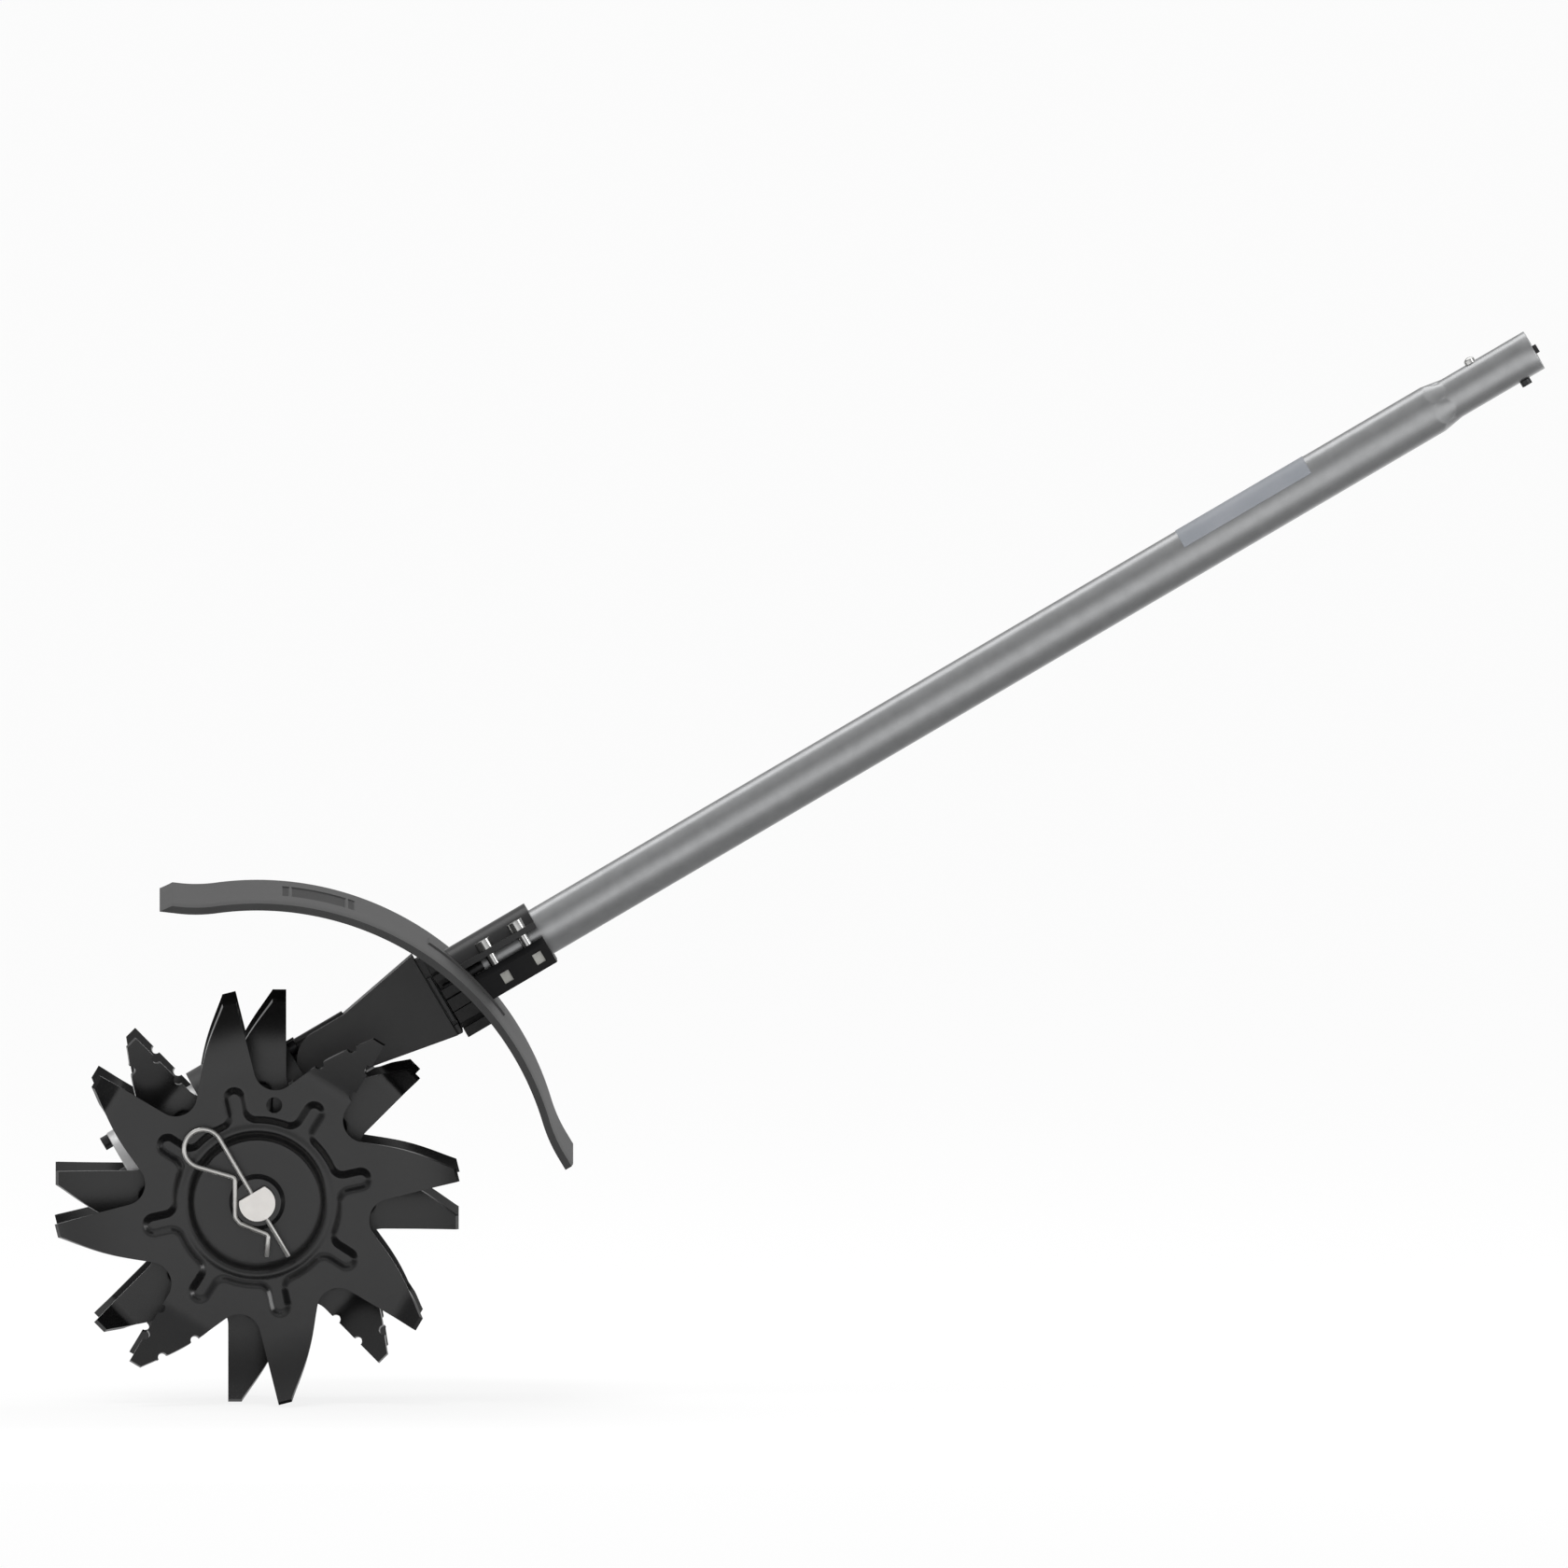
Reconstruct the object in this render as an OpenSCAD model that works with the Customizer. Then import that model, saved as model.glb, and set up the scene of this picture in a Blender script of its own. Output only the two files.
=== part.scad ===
// Cultivator attachment for a power head: a tube carries the drive to a worm gear case,
// and four star-shaped tine discs turn on the case's cross axle under an arched guard.
// The pieces are drawn along the tube: X runs up the tube, Y along the axle and Z away
// from the ground, with zero at the middle of the axle. posture() then tilts the tool
// to its working angle and puts zero at the middle of the tube's open end.

/* [Posture] */
// Angle of the tube above the ground
work_angle = 30.4; // [20:0.1:45]

/* [Tube] */
// Outer diameter of the tube
tube_od = 25.4; // [24:0.1:28]
// Wall of the tube
tube_wall = 1.8; // [1.2:0.1:2.4]
// Distance along the tube from the axle to the open end
tube_reach = 775.2; // [600:0.1:1000]
// Distance from the axle to the tube's lower end, inside the neck
tube_foot = 92; // [84:0.5:105]
// Outer diameter of the swaged spigot
spigot_od = 21.7; // [20:0.1:23]
// Length of the swaged spigot
spigot_len = 49.7; // [45:0.1:60]
// Length of the cone between tube and spigot
swage_len = 8.9; // [6:0.1:14]
// Length of the label on the tube
label_len = 74.5; // [40:0.5:120]
// Distance from the tube's open end to the label
label_setback = 128.7; // [90:0.1:300]
// Half of the angle that the label wraps
label_half_angle = 73.5; // [30:0.5:85]
// Thickness of the label
label_t = 0.25; // [0.1:0.05:0.5]
// Thickness of the glue under the label
glue_t = 0.05; // [0.02:0.01:0.1]

/* [Coupler end] */
// Diameter of the spring button
button_d = 5.8; // [5:0.1:7]
// How far the button stands out of the spigot
button_proud = 2.85; // [2:0.05:4]
// Distance from the open end to the button
button_setback = 31.3; // [28:0.1:34]
// Thickness of the leaf spring
leaf_t = 0.6; // [0.4:0.1:1]
// Width of the leaf spring
leaf_w = 6; // [4:0.1:7]
// Length of the end bushing
end_bush_len = 16; // [12:0.5:17]
// Diameter of the bushing screw's head
end_screw_d = 5.6; // [5:0.1:7]
// Diameter of the bushing screw's thread
end_screw_thread = 3.5; // [3:0.1:4]
// Height of the bushing screw's head
end_screw_head = 2.8; // [2:0.1:3.5]
// Distance from the open end to the bushing screw
end_screw_setback = 11.9; // [10:0.1:14]

/* [Drive] */
// Distance from the worm's axis to the axle's axis
centre_distance = 43; // [42:0.5:46]
// Gear module
gear_module = 2; // [1.9:0.05:2.1]
// Teeth on the worm wheel
wheel_teeth = 32; // [30:1:32]
// Play left between worm thread and wheel tooth, along the pitch line
tooth_play = 0.7; // [0.5:0.05:0.9]
// Pressure angle of the teeth
pressure_angle = 20; // [18:0.5:22]
// Half of the face width of the wheel
wheel_half_face = 6; // [4:0.5:7]
// Diameter of the wheel's hub
wheel_hub_d = 30; // [27:0.5:36]
// Half of the length of the wheel's hub
wheel_half_hub = 9; // [7:0.25:9.25]
// Length of the worm's thread
worm_len = 36; // [30:0.5:44]
// Diameter of the worm's journals
journal_d = 12; // [11:0.5:14]
// Outer diameter of the worm's bearings
bearing_od = 28; // [27:0.5:30]
// Width of the worm's bearings
bearing_w = 8; // [6:0.5:9]
// Diameter of the long drive shaft
shaft_d = 6.35; // [5.5:0.05:7]
// Width across the square end of the drive shaft
square_w = 4.4; // [3.6:0.1:4.4]
// How far the square end stands out of the tube
square_proud = 2; // [1:0.1:4]
// Length of the square end
square_len = 10; // [8:0.5:14]
// Length of the shaft inside the worm's tail
shaft_grip = 20; // [16:0.5:24]
// Diameter of the pin that locks shaft to worm
lock_pin_d = 3; // [2:0.25:3.5]
// Number of bushings along the tube
bushing_count = 3; // [2:1:4]
// Length of each bushing
bushing_len = 25; // [15:1:40]

/* [Gear case] */
// Outer diameter of the worm tunnel
tunnel_od = 46; // [44:0.5:48]
// Distance from the axle to the front end of the tunnel
tunnel_front = 43.2; // [42:0.2:46]
// Distance from the axle to the rear end of the tunnel
tunnel_back = 46; // [45:0.5:48]
// Radius of the wheel housing
housing_r = 39; // [38:0.25:40]
// Half of the width of the wheel housing
housing_half_w = 18; // [15:0.5:19]
// Radius of the chamber round the wheel
chamber_r = 36; // [35:0.25:36.5]
// Half of the width of the chamber round the wheel
chamber_half_w = 10; // [9.5:0.25:11]
// Outer diameter of the bosses that carry the axle
boss_d = 34; // [30:0.5:38]
// Distance from the middle to the end of each boss
boss_end = 23; // [21:0.25:23.5]
// Outer diameter of the axle bushes
axle_bush_od = 25; // [23:0.25:27]
// Length of each axle bush
axle_bush_len = 9; // [6:0.5:9]
// Distance from the axle to the case screws
case_screw_r = 44; // [43.5:0.25:45]
// Radius of the lugs round the case screws
case_lug_r = 6; // [5:0.25:7]
// Half of the length of the lugs
case_lug_half = 9; // [7:0.5:11]
// Thread diameter of the case screws
case_screw_d = 5; // [4:0.25:6]
// Thickness of the end cap
cap_t = 6.3; // [5:0.1:8]
// Diameter of the end cap
cap_d = 46.8; // [46:0.2:48]
// Distance from the tunnel's axis to the cap's screws
cap_screw_r = 19.4; // [18.5:0.1:19.6]
// Thread diameter of the cap screws and neck screws
small_screw_d = 4; // [3:0.25:4.5]

/* [Neck] */
// Radius of the hood over the tunnel
hood_r = 29.2; // [28:0.1:30]
// Distance from the axle to the hood's front edge
hood_front = 0.5; // [-4:0.5:6]
// Thickness of the flange on the tunnel's end
neck_flange_t = 6; // [5:0.25:8]
// Radius of the barrel behind the flange
barrel_r = 16.7; // [16:0.1:18]
// Radius of the round front end of the side plates
plate_nose_r = 15; // [14:0.1:16]
// Distance from the axle to the front end of the side plates
plate_front = 51; // [49:0.5:53]
// Half of the width over the two side plates
plate_half_w = 18; // [17.5:0.25:20]
// Distance from the axle to the start of the flare
flare_start = 84.4; // [80:0.2:90]
// Distance along the tube's axis from the end of the flare to the guard
flare_setback = 15.2; // [14:0.1:18]
// Half of the height at the end of the flare
flare_half_h = 23.3; // [20:0.1:25]
// Thickness of the stop plate behind the flare
stop_t = 2; // [1.5:0.1:2.5]
// Gap between the flare and the stop plate's face
stop_lip = 1; // [0.5:0.1:1.2]
// Top of the stop plate above the tube's axis
stop_top = 9.5; // [8:0.1:16]
// Top of the stop plate's core above the tube's axis
stop_core_top = 20.3; // [17:0.1:21]

/* [Guard] */
// Inner radius of the guard
guard_r = 151; // [140:0.5:170]
// Thickness of the guard
guard_t = 4.6; // [3:0.1:6]
// Width of the guard
guard_w = 290; // [200:1:340]
// Angle from the tube's direction to the guard's rear bend
guard_rear_angle = -17.4; // [-30:0.1:-10]
// Angle from the tube's direction to the guard's front bend
guard_front_angle = 71.1; // [60:0.1:85]
// Length of the flare at the rear edge
rear_lip = 16.9; // [8:0.1:25]
// Length of the flare at the front edge
front_lip = 19.4; // [8:0.1:30]
// Angle by which both edges flare outward
lip_angle = 18; // [10:0.5:25]
// Length of the recessed panel, along the arc
panel_len = 28; // [10:0.5:40]
// Width of the recessed panel
panel_w = 140; // [60:1:200]
// Depth of the recessed panel
panel_depth = 0.8; // [0.4:0.1:1.2]
// Angle from the tube's direction to the middle of the panel
panel_angle = 48; // [40:0.5:60]
// Width of the grooves beside the panel
strip_w = 3; // [2:0.1:4]
// Half of the width of the boss under the guard
guard_boss_half_w = 24; // [22:0.5:30]
// Top of the boss above the tube's axis
guard_boss_top = 19; // [18:0.5:22]
// Bottom of the boss below the tube's axis
guard_boss_bottom = 26.6; // [24:0.2:29]
// Gap between the boss and the stop plate
guard_boss_gap = 1.2; // [0.8:0.1:2]
// Width of the upper groove in the boss's sides
groove_w = 4.5; // [3:0.1:6]
// Middle of the upper groove above the tube's axis
groove_rise = 3.1; // [2:0.1:4]
// Width of the lower groove in the boss's sides
low_groove_w = 3; // [2:0.1:4]
// Height of the rib under the lower groove
foot_rib = 5.1; // [4:0.1:7]
// Thickness of the boss left between the grooves and the tube
groove_web = 3; // [2.5:0.1:4]
// Thickness of the pad that the clamp sits on
pad_t = 1.2; // [0.8:0.1:2]
// Half of the width of the pad
pad_half_w = 30; // [27:0.5:40]
// Half of the pad's length, along the arc
pad_half_len = 26.6; // [24:0.2:40]

/* [Clamp] */
// Outer radius of the clamp
clamp_r = 17; // [16.4:0.1:18]
// Distance along the tube's axis from the guard to the clamp's outer end
clamp_reach = 42.2; // [40:0.1:46]
// Half of the width of the clamp over its ears
clamp_half_w = 24; // [23:0.5:28]
// Distance of the clamp screws from the tube's axis
clamp_screw_y = 18; // [17:0.1:19]
// Distance from the clamp's outer end to the nearer clamp screw
clamp_screw_setback = 8.8; // [7:0.1:9.5]
// Distance between the two clamp screws of a side
clamp_screw_pitch = 18.8; // [14:0.1:19]
// Thread diameter of the clamp screws
clamp_screw_d = 5; // [4:0.25:6]
// Top face of the upper ear above the tube's axis
ear_top = 7.1; // [6:0.1:8]
// Thickness of the upper ear
ear_t = 3; // [2.5:0.1:3.5]
// Top face of the lower block below the tube's axis
block_top = 1.8; // [1.5:0.1:3]
// Bottom face of the lower block below the tube's axis
block_bottom = 16.4; // [15:0.1:17]
// Chamfer along the lower block's upper edges
block_chamfer = 3; // [2:0.1:3.5]
// Width of the square clamp nuts
nut_w = 9; // [8:0.1:9.5]
// Height of the square clamp nuts
nut_h = 5.9; // [4:0.1:6.5]
// Middle of the nuts below the tube's axis
nut_drop = 10; // [9:0.1:11]
// Width of the window in front of each nut
nut_window_w = 4.9; // [4:0.1:5]
// Distance up the tube from each screw to the middle of its nut's window
nut_window_shift = 1.9; // [0:0.1:2]
// Diameter of the guard screws' heads
guard_screw_head_d = 4.7; // [4:0.1:6]
// Length of the guard screws' heads
guard_screw_head_len = 8; // [4:0.5:10]
// Thread diameter of the guard screws
guard_screw_d = 3.5; // [3:0.1:4]

/* [Axle and hubs] */
// Diameter of the axle
axle_d = 18.4; // [17:0.1:20]
// Half of the axle's length
axle_half_len = 82; // [81:0.5:90]
// Distance from the axle's centre to its flat
axle_flat = 5.5; // [4.5:0.1:7.5]
// Outer diameter of the hub tubes
hub_od = 24.4; // [23.4:0.1:26]
// Diameter of the collar that each disc sits against
collar_d = 30.2; // [28:0.2:34]
// Distance from the middle to the end of the outer hubs
hub_end = 73.5; // [72:0.5:74]
// Distance from the middle to the joint between inner and outer hubs
hub_split = 51.7; // [46:0.1:54]
// Thickness of the thrust washers
thrust_t = 1.5; // [1:0.1:1.6]
// Width of the wheel's key
key_w = 5; // [4:0.5:6]

/* [Tines] */
// Thickness of the tine discs
tine_t = 3.1; // [2.5:0.1:3.5]
// Distance from the middle to the outer face of the inner discs
inner_plane = 36.4; // [36:0.1:40]
// Distance from the middle to the outer face of the outer discs
outer_plane = 68.3; // [66:0.1:69]
// Teeth on each disc
tooth_count = 8; // [8:4:8]
// Radius of the tooth tips
tip_r = 103.2; // [95:0.1:110]
// Width of the tooth tips
tip_w = 6; // [4:0.1:9]
// Distance from the disc's centre to the line of each straight tooth edge
edge_offset = 14.7; // [12:0.1:16]
// Taper of the other tooth edge
tooth_taper = 30; // [27:0.1:32]
// Radius of the valleys between the teeth
valley_r = 11; // [10:0.1:12]
// How far the tooth tips stand out of the disc
tip_throw = 10; // [6:0.1:12]
// Distance from the axle to the start of a curved tooth
curve_start = 63.8; // [63.8:0.1:66]
// Distance from the axle to the crease of a notched tooth
notch_crease = 68; // [66:0.1:72]
// Distance from the axle to the crease of a hooked tooth
hook_crease = 90; // [84:0.1:94]
// Radius of the notches
notch_r = 2.4; // [1.5:0.1:3]
// Radius of the shallow step round the dish
step_r = 43.5; // [42:0.1:45]
// Depth of the shallow step and the ribs
step_depth = 2; // [1.5:0.1:2.5]
// Outer radius of the dish wall
dish_r = 36.9; // [34:0.1:38]
// Radius of the dish floor
floor_r = 31.2; // [28:0.1:33]
// Depth of the dish
dish_depth = 6; // [4:0.1:6.5]
// Width of the pressed ribs
rib_w = 11.8; // [8:0.1:13]
// Distance from the axle to the pressed ribs' outer ends
rib_end_r = 59.6; // [55:0.1:60]
// Turn of the ribs from the straight tooth edges
rib_turn = -1.8; // [-4:0.1:4]
// Diameter of the small hole in each disc
disc_hole_d = 8; // [5:0.1:9]
// Distance of the small hole from the axle
disc_hole_r = 50; // [47:0.1:51]
// Turn of the small hole from the straight tooth edges
disc_hole_turn = 65.7; // [63:0.1:68]
// Turn of the outer near and inner far discs
first_turn = -16.1; // [-20:0.1:-10]
// Turn of the inner near and outer far discs
second_turn = 59.6; // [50:0.1:70]

/* [Hairpins] */
// Diameter of the wire
wire_d = 2.4; // [2:0.1:3]
// Radius of the finger loop, at the wire's middle
loop_r = 9.7; // [8:0.1:11]
// Height of the loop's middle above the axle
loop_height = 37.5; // [34:0.1:42]
// Length of the straight leg below the axle
leg_drop = 31.6; // [26:0.1:36]
// Distance from the middle to the hairpins
hairpin_plane = 77; // [75.5:0.1:78]

/* [Fits] */
// Running clearance between a turning piece and its bearing, on the radius
running = 0.05; // [0.03:0.01:0.08]
// Clearance round seated pieces, on the radius
seat = 0.05; // [0.02:0.01:0.1]
// Clearance of a screw in its hole, on the radius
hole_play = 0.15; // [0.1:0.05:0.3]
// Gap between pieces that turn past each other
side_gap = 0.3; // [0.2:0.05:0.5]

/* [Hidden] */
$fn = 64;
eps = 0.01;
far = 500;

// Colours
aluminium = [0.72, 0.73, 0.74];
bright_steel = [0.80, 0.80, 0.80];
black_steel = [0.10, 0.10, 0.11];
coated_black = [0.22, 0.22, 0.23];
grey_plastic = [0.36, 0.36, 0.36];
black_plastic = [0.15, 0.15, 0.16];
bronze = [0.66, 0.50, 0.28];
rubber = [0.08, 0.08, 0.08];
label_grey = [0.55, 0.57, 0.60];

// Tube
tube_r = tube_od / 2;
tube_bore_r = tube_r - tube_wall;
spigot_r = spigot_od / 2;
spigot_bore_r = spigot_r - tube_wall;
tube_len = tube_reach - tube_foot;
swage_start = tube_reach - spigot_len - swage_len;
shaft_r = shaft_d / 2;
shaft_bore_r = shaft_r + running;

// Spring button: its flange lies under the curved wall, and the leaf lies under the flange
button_r = button_d / 2;
button_x = tube_reach - button_setback;
flange_rim = 1.2;
flange_r = button_r + flange_rim;
flange_t = 1.1;
flange_top = sqrt(pow(spigot_bore_r, 2) - pow(flange_r, 2)) - side_gap;
leaf_top = flange_top - flange_t - seat;
leaf_seat = sqrt(pow(tube_bore_r, 2) - pow(leaf_w / 2, 2)) - seat;
leaf_back = 54;
leaf_rise = 30;
leaf_tip = flange_r + 1;

// End bushing and its screw
end_bush_x = tube_reach - end_screw_setback - end_bush_len / 2;
end_screw_x = tube_reach - end_screw_setback;
end_screw_depth = 5;

// Worm and wheel
wheel_pitch_r = gear_module * wheel_teeth / 2;
worm_pitch_r = centre_distance - wheel_pitch_r;
pitch = PI * gear_module;
tooth_w = pitch / 2 - tooth_play / 2;
addendum = gear_module;
dedendum = 1.35 * gear_module;
worm_core_r = worm_pitch_r - dedendum;
lead_angle = atan(gear_module / (2 * worm_pitch_r));
thread_steps = 24;
thread_sink = 0.6;
bearing_gap = 3;
front_bearing_x = -tunnel_front + bearing_gap;
drive_seal_len = 6;
back_bearing_x = tunnel_back - drive_seal_len - bearing_w;
seal_x = back_bearing_x + bearing_w + seat;
tail_len = 26;
worm_tail = tunnel_back + tail_len;
shaft_foot = worm_tail - shaft_grip;
journal_r = journal_d / 2;
bearing_r = bearing_od / 2;
tunnel_r = tunnel_od / 2;

// Case
case_screw_angles = [-25, -90, -155];
case_screw_head_r = 0.85 * case_screw_d;
cap_head_d = 1.75 * small_screw_d;
cap_head_t = 1.075 * small_screw_d;
cap_thread = 10;
neck_thread = 9;
cap_lip = 2;
axle_r = axle_d / 2;
axle_bore_r = axle_r + running;
bush_setback = 0.8;
bush_start = chamber_half_w + bush_setback;
seal_start = bush_start + axle_bush_len + seat;

// Neck and guard
neck_back = tunnel_back + neck_flange_t;
guard_out = guard_r + guard_t;
guard_inner_x = sqrt(pow(guard_r, 2) - pow(centre_distance, 2));
guard_outer_x = sqrt(pow(guard_out, 2) - pow(centre_distance, 2));
flare_end = guard_inner_x - flare_setback;
stop_x = flare_end + stop_lip;
pad_out = guard_out + pad_t;
guard_boss_x = stop_x + stop_t + guard_boss_gap;
tube_cross_angle = asin(centre_distance / guard_out);
pad_half_angle = pad_half_len / guard_out * 180 / PI;
tail_play = 1;
wrench_room = 6;
stop_inset = 3;
stop_foot_gap = 2;
stop_notch_drop = 16;
stop_notch_h = 2;
stop_notch_w = 4;
groove_floor = 6;

// Clamp
clamp_end = guard_outer_x + clamp_reach;
clamp_foot = sqrt(pow(pad_out, 2) - pow(centre_distance + clamp_r, 2));
clamp_screw_x = [clamp_end - clamp_screw_setback - clamp_screw_pitch, clamp_end - clamp_screw_setback];
clamp_head_r = 0.86 * clamp_screw_d;
clamp_head_t = clamp_screw_d;
thread_past_nut = 1.5;
nut_foot = centre_distance - nut_drop - nut_h / 2;
clamp_thread_end = nut_drop + nut_h / 2 + thread_past_nut;
guard_screw_y = clamp_screw_y;
guard_screw_z = (ear_top - ear_t - block_top) / 2;
guard_screw_depth = 14;
washer_t = 1;
guard_screw_reach = washer_t + guard_screw_head_len;
washer_rim = 0.9;
washer_r = guard_screw_head_d / 2 + washer_rim;
spot_r = washer_r + hole_play;
guard_seat_x = sqrt(pow(pad_out, 2) - pow(centre_distance + guard_screw_z + spot_r, 2));

// Hubs
hub_r = hub_od / 2;
collar_r = collar_d / 2;
hub_bore_r = axle_r + seat;
hub_flat = axle_flat + seat;
hub_start = boss_end + side_gap + thrust_t + seat;
flat_start = hub_start;
key_setback = 1;
key_half_len = wheel_half_hub - key_setback;

// Tines: a straight edge, a tapered edge and a round valley that touches both
tooth_pitch = 360 / tooth_count;
tip_x = sqrt(pow(tip_r, 2) - pow(edge_offset, 2));
tip_top = tip_w - edge_offset;
taper_reach = tip_x * sin(tooth_taper) + tip_top * cos(tooth_taper) + valley_r;
edge_reach = edge_offset + valley_r;
valley_centre = [
  (taper_reach * cos(tooth_pitch) + edge_reach * cos(tooth_taper)) / sin(tooth_taper + tooth_pitch),
  (taper_reach * sin(tooth_pitch) - edge_reach * sin(tooth_taper)) / sin(tooth_taper + tooth_pitch)
];
valley_steps = 6;
curve_steps = 5;
notch_steps = 4;
rib_steps = 4;
step_steps = 4;
dish_steps = 5;
hole_steps = 12;
hole_sector = 1;
press_wall = 1.2;
curved = 0;
notched = 1;
hooked = 2;
tooth_kinds = [curved, notched, curved, hooked];
notch_edge_share = [0.088, 0.539];
notch_taper_share = [0.688, 0.249];
notch_edge_x = [for (share = notch_edge_share) notch_crease + share * (tip_x - notch_crease)];
notch_taper_x = [for (share = notch_taper_share) notch_crease + share * (tip_x - notch_crease)];
dish_lead = 0.2;

// Hairpin: the sprung leg's bends, from the loop down, in the plane of the wire
wire_r = wire_d / 2;
loop_turn = 223.7;
loop_steps = 20;
wire_sides = 10;
sprung_leg = [[-3.3, 16.6], [-13.4, -0.9], [-12.8, -4.7], [-3.3, -16.9], [-9.7, -26.1]];

function polar(r, a) = [r * cos(a), r * sin(a)];
function turned(p, a) = [p[0] * cos(a) - p[1] * sin(a), p[0] * sin(a) + p[1] * cos(a)];
function taper_y(x) = tip_top + (tip_x - x) * tan(tooth_taper);

// Places the tool at its working angle, with zero at the tube's open end
module posture() {
  rotate([0, -work_angle, 0])
    translate([-tube_reach, 0, -centre_distance])
      children();
}

// Stands children on the tube's axis at x, with their Z up the tube
module on_tube(x) {
  translate([x, 0, centre_distance])
    rotate([0, 90, 0])
      children();
}

// Lays children on the axle, with their Z towards the near side and their X and Y as X and Z
module on_axle(y = 0) {
  translate([0, -y, 0])
    rotate([90, 0, 0])
      children();
}

// Repeats children on the near and the far side
module both_sides() {
  children();
  mirror([0, 1, 0]) children();
}

module ring(outer_r, inner_r, h) {
  difference() {
    cylinder(r = outer_r, h = h);
    translate([0, 0, -1]) cylinder(r = inner_r, h = h + 2);
  }
}

// A socket screw with its head's underside at zero and its thread running down
module cap_screw(thread_d, length, head_r, head_t) {
  difference() {
    union() {
      cylinder(r = head_r, h = head_t);
      translate([0, 0, -length]) cylinder(d = thread_d, h = length + eps);
    }
    translate([0, 0, head_t / 2]) cylinder(d = thread_d, h = head_t, $fn = 6);
  }
}

module shaft_tube() {
  color(aluminium)
    difference() {
      on_tube(tube_foot)
        rotate_extrude()
          polygon([
            [tube_bore_r, 0], [tube_r, 0],
            [tube_r, swage_start - tube_foot],
            [spigot_r, swage_start + swage_len - tube_foot],
            [spigot_r, tube_len], [spigot_bore_r, tube_len],
            [spigot_bore_r, swage_start + swage_len - tube_foot],
            [tube_bore_r, swage_start - tube_foot]
          ]);
      translate([button_x, 0, centre_distance])
        cylinder(r = button_r + side_gap, h = tube_od);
      translate([end_screw_x, 0, centre_distance - tube_od])
        cylinder(d = end_screw_thread + 2 * hole_play, h = tube_od);
    }
}

module tube_end_bushing() {
  color(black_plastic)
    difference() {
      on_tube(end_bush_x) ring(spigot_bore_r - seat, shaft_bore_r, end_bush_len);
      translate([end_screw_x, 0, centre_distance - tube_od])
        cylinder(d = end_screw_thread, h = tube_od - end_screw_depth);
    }
}

module bushing_screw() {
  color(black_steel)
    translate([end_screw_x, 0, centre_distance - spigot_r])
      rotate([180, 0, 0])
        cap_screw(end_screw_thread, spigot_r - end_screw_depth - seat, end_screw_d / 2, end_screw_head);
}

module detent_spring() {
  color(bright_steel)
    translate([button_x, leaf_w / 2, centre_distance])
      rotate([90, 0, 0])
        linear_extrude(leaf_w)
          polygon([
            [flange_r, leaf_top], [-leaf_tip, leaf_top],
            [-leaf_tip - leaf_rise, leaf_seat], [-leaf_back, leaf_seat],
            [-leaf_back, leaf_seat - leaf_t], [-leaf_tip - leaf_rise, leaf_seat - leaf_t],
            [-leaf_tip, leaf_top - leaf_t], [flange_r, leaf_top - leaf_t]
          ]);
}

module tube_bushings() {
  span = (swage_start - clamp_end) / (bushing_count + 1);
  color(black_plastic)
    for (i = [1 : bushing_count])
      on_tube(clamp_end + i * span - bushing_len / 2)
        ring(tube_bore_r - seat, shaft_bore_r, bushing_len);
}

module tube_label() {
  color(label_grey)
    on_tube(tube_reach - label_setback - label_len)
      rotate([0, 0, 180 - label_half_angle])
        rotate_extrude(angle = 2 * label_half_angle)
          translate([tube_r + glue_t, 0]) square([label_t, label_len]);
}

module detent_button() {
  dome = button_r / 2;
  crown = spigot_r + button_proud;
  dome_r = (pow(button_r, 2) + pow(dome, 2)) / (2 * dome);
  color(bright_steel)
    translate([button_x, 0, centre_distance]) {
      translate([0, 0, flange_top - flange_t]) cylinder(r = flange_r, h = flange_t);
      intersection() {
        translate([0, 0, flange_top - eps]) cylinder(r = button_r, h = crown - flange_top + 1);
        translate([0, 0, crown - dome_r]) sphere(r = dome_r);
      }
    }
}

module drive_shaft() {
  color(black_steel)
    on_tube(shaft_foot)
      difference() {
        union() {
          cylinder(r = shaft_r, h = tube_reach + square_proud - square_len - shaft_foot);
          translate([-square_w / 2, -square_w / 2, 0])
            cube([square_w, square_w, tube_reach + square_proud - shaft_foot]);
        }
        translate([0, shaft_d, shaft_grip / 2])
          rotate([90, 0, 0])
            cylinder(d = lock_pin_d, h = 2 * shaft_d);
      }
}

module shaft_pin() {
  color(bright_steel)
    translate([shaft_foot + shaft_grip / 2, journal_r, centre_distance])
      rotate([90, 0, 0])
        cylinder(d = lock_pin_d - 2 * seat, h = journal_d);
}

// One ring of the worm's thread: its four corners at step i
function thread_ring(i) =
  let (
    a = 360 * i / thread_steps,
    x = pitch * i / thread_steps,
    root_w = tooth_w + 2 * dedendum * tan(pressure_angle),
    crest_w = tooth_w - 2 * addendum * tan(pressure_angle),
    root_r = worm_core_r - thread_sink,
    crest_r = worm_pitch_r + addendum
  )
  [
    [root_r * cos(a), root_r * sin(a), x - root_w / 2],
    [root_r * cos(a), root_r * sin(a), x + root_w / 2],
    [crest_r * cos(a), crest_r * sin(a), x + crest_w / 2],
    [crest_r * cos(a), crest_r * sin(a), x - crest_w / 2]
  ];

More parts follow.
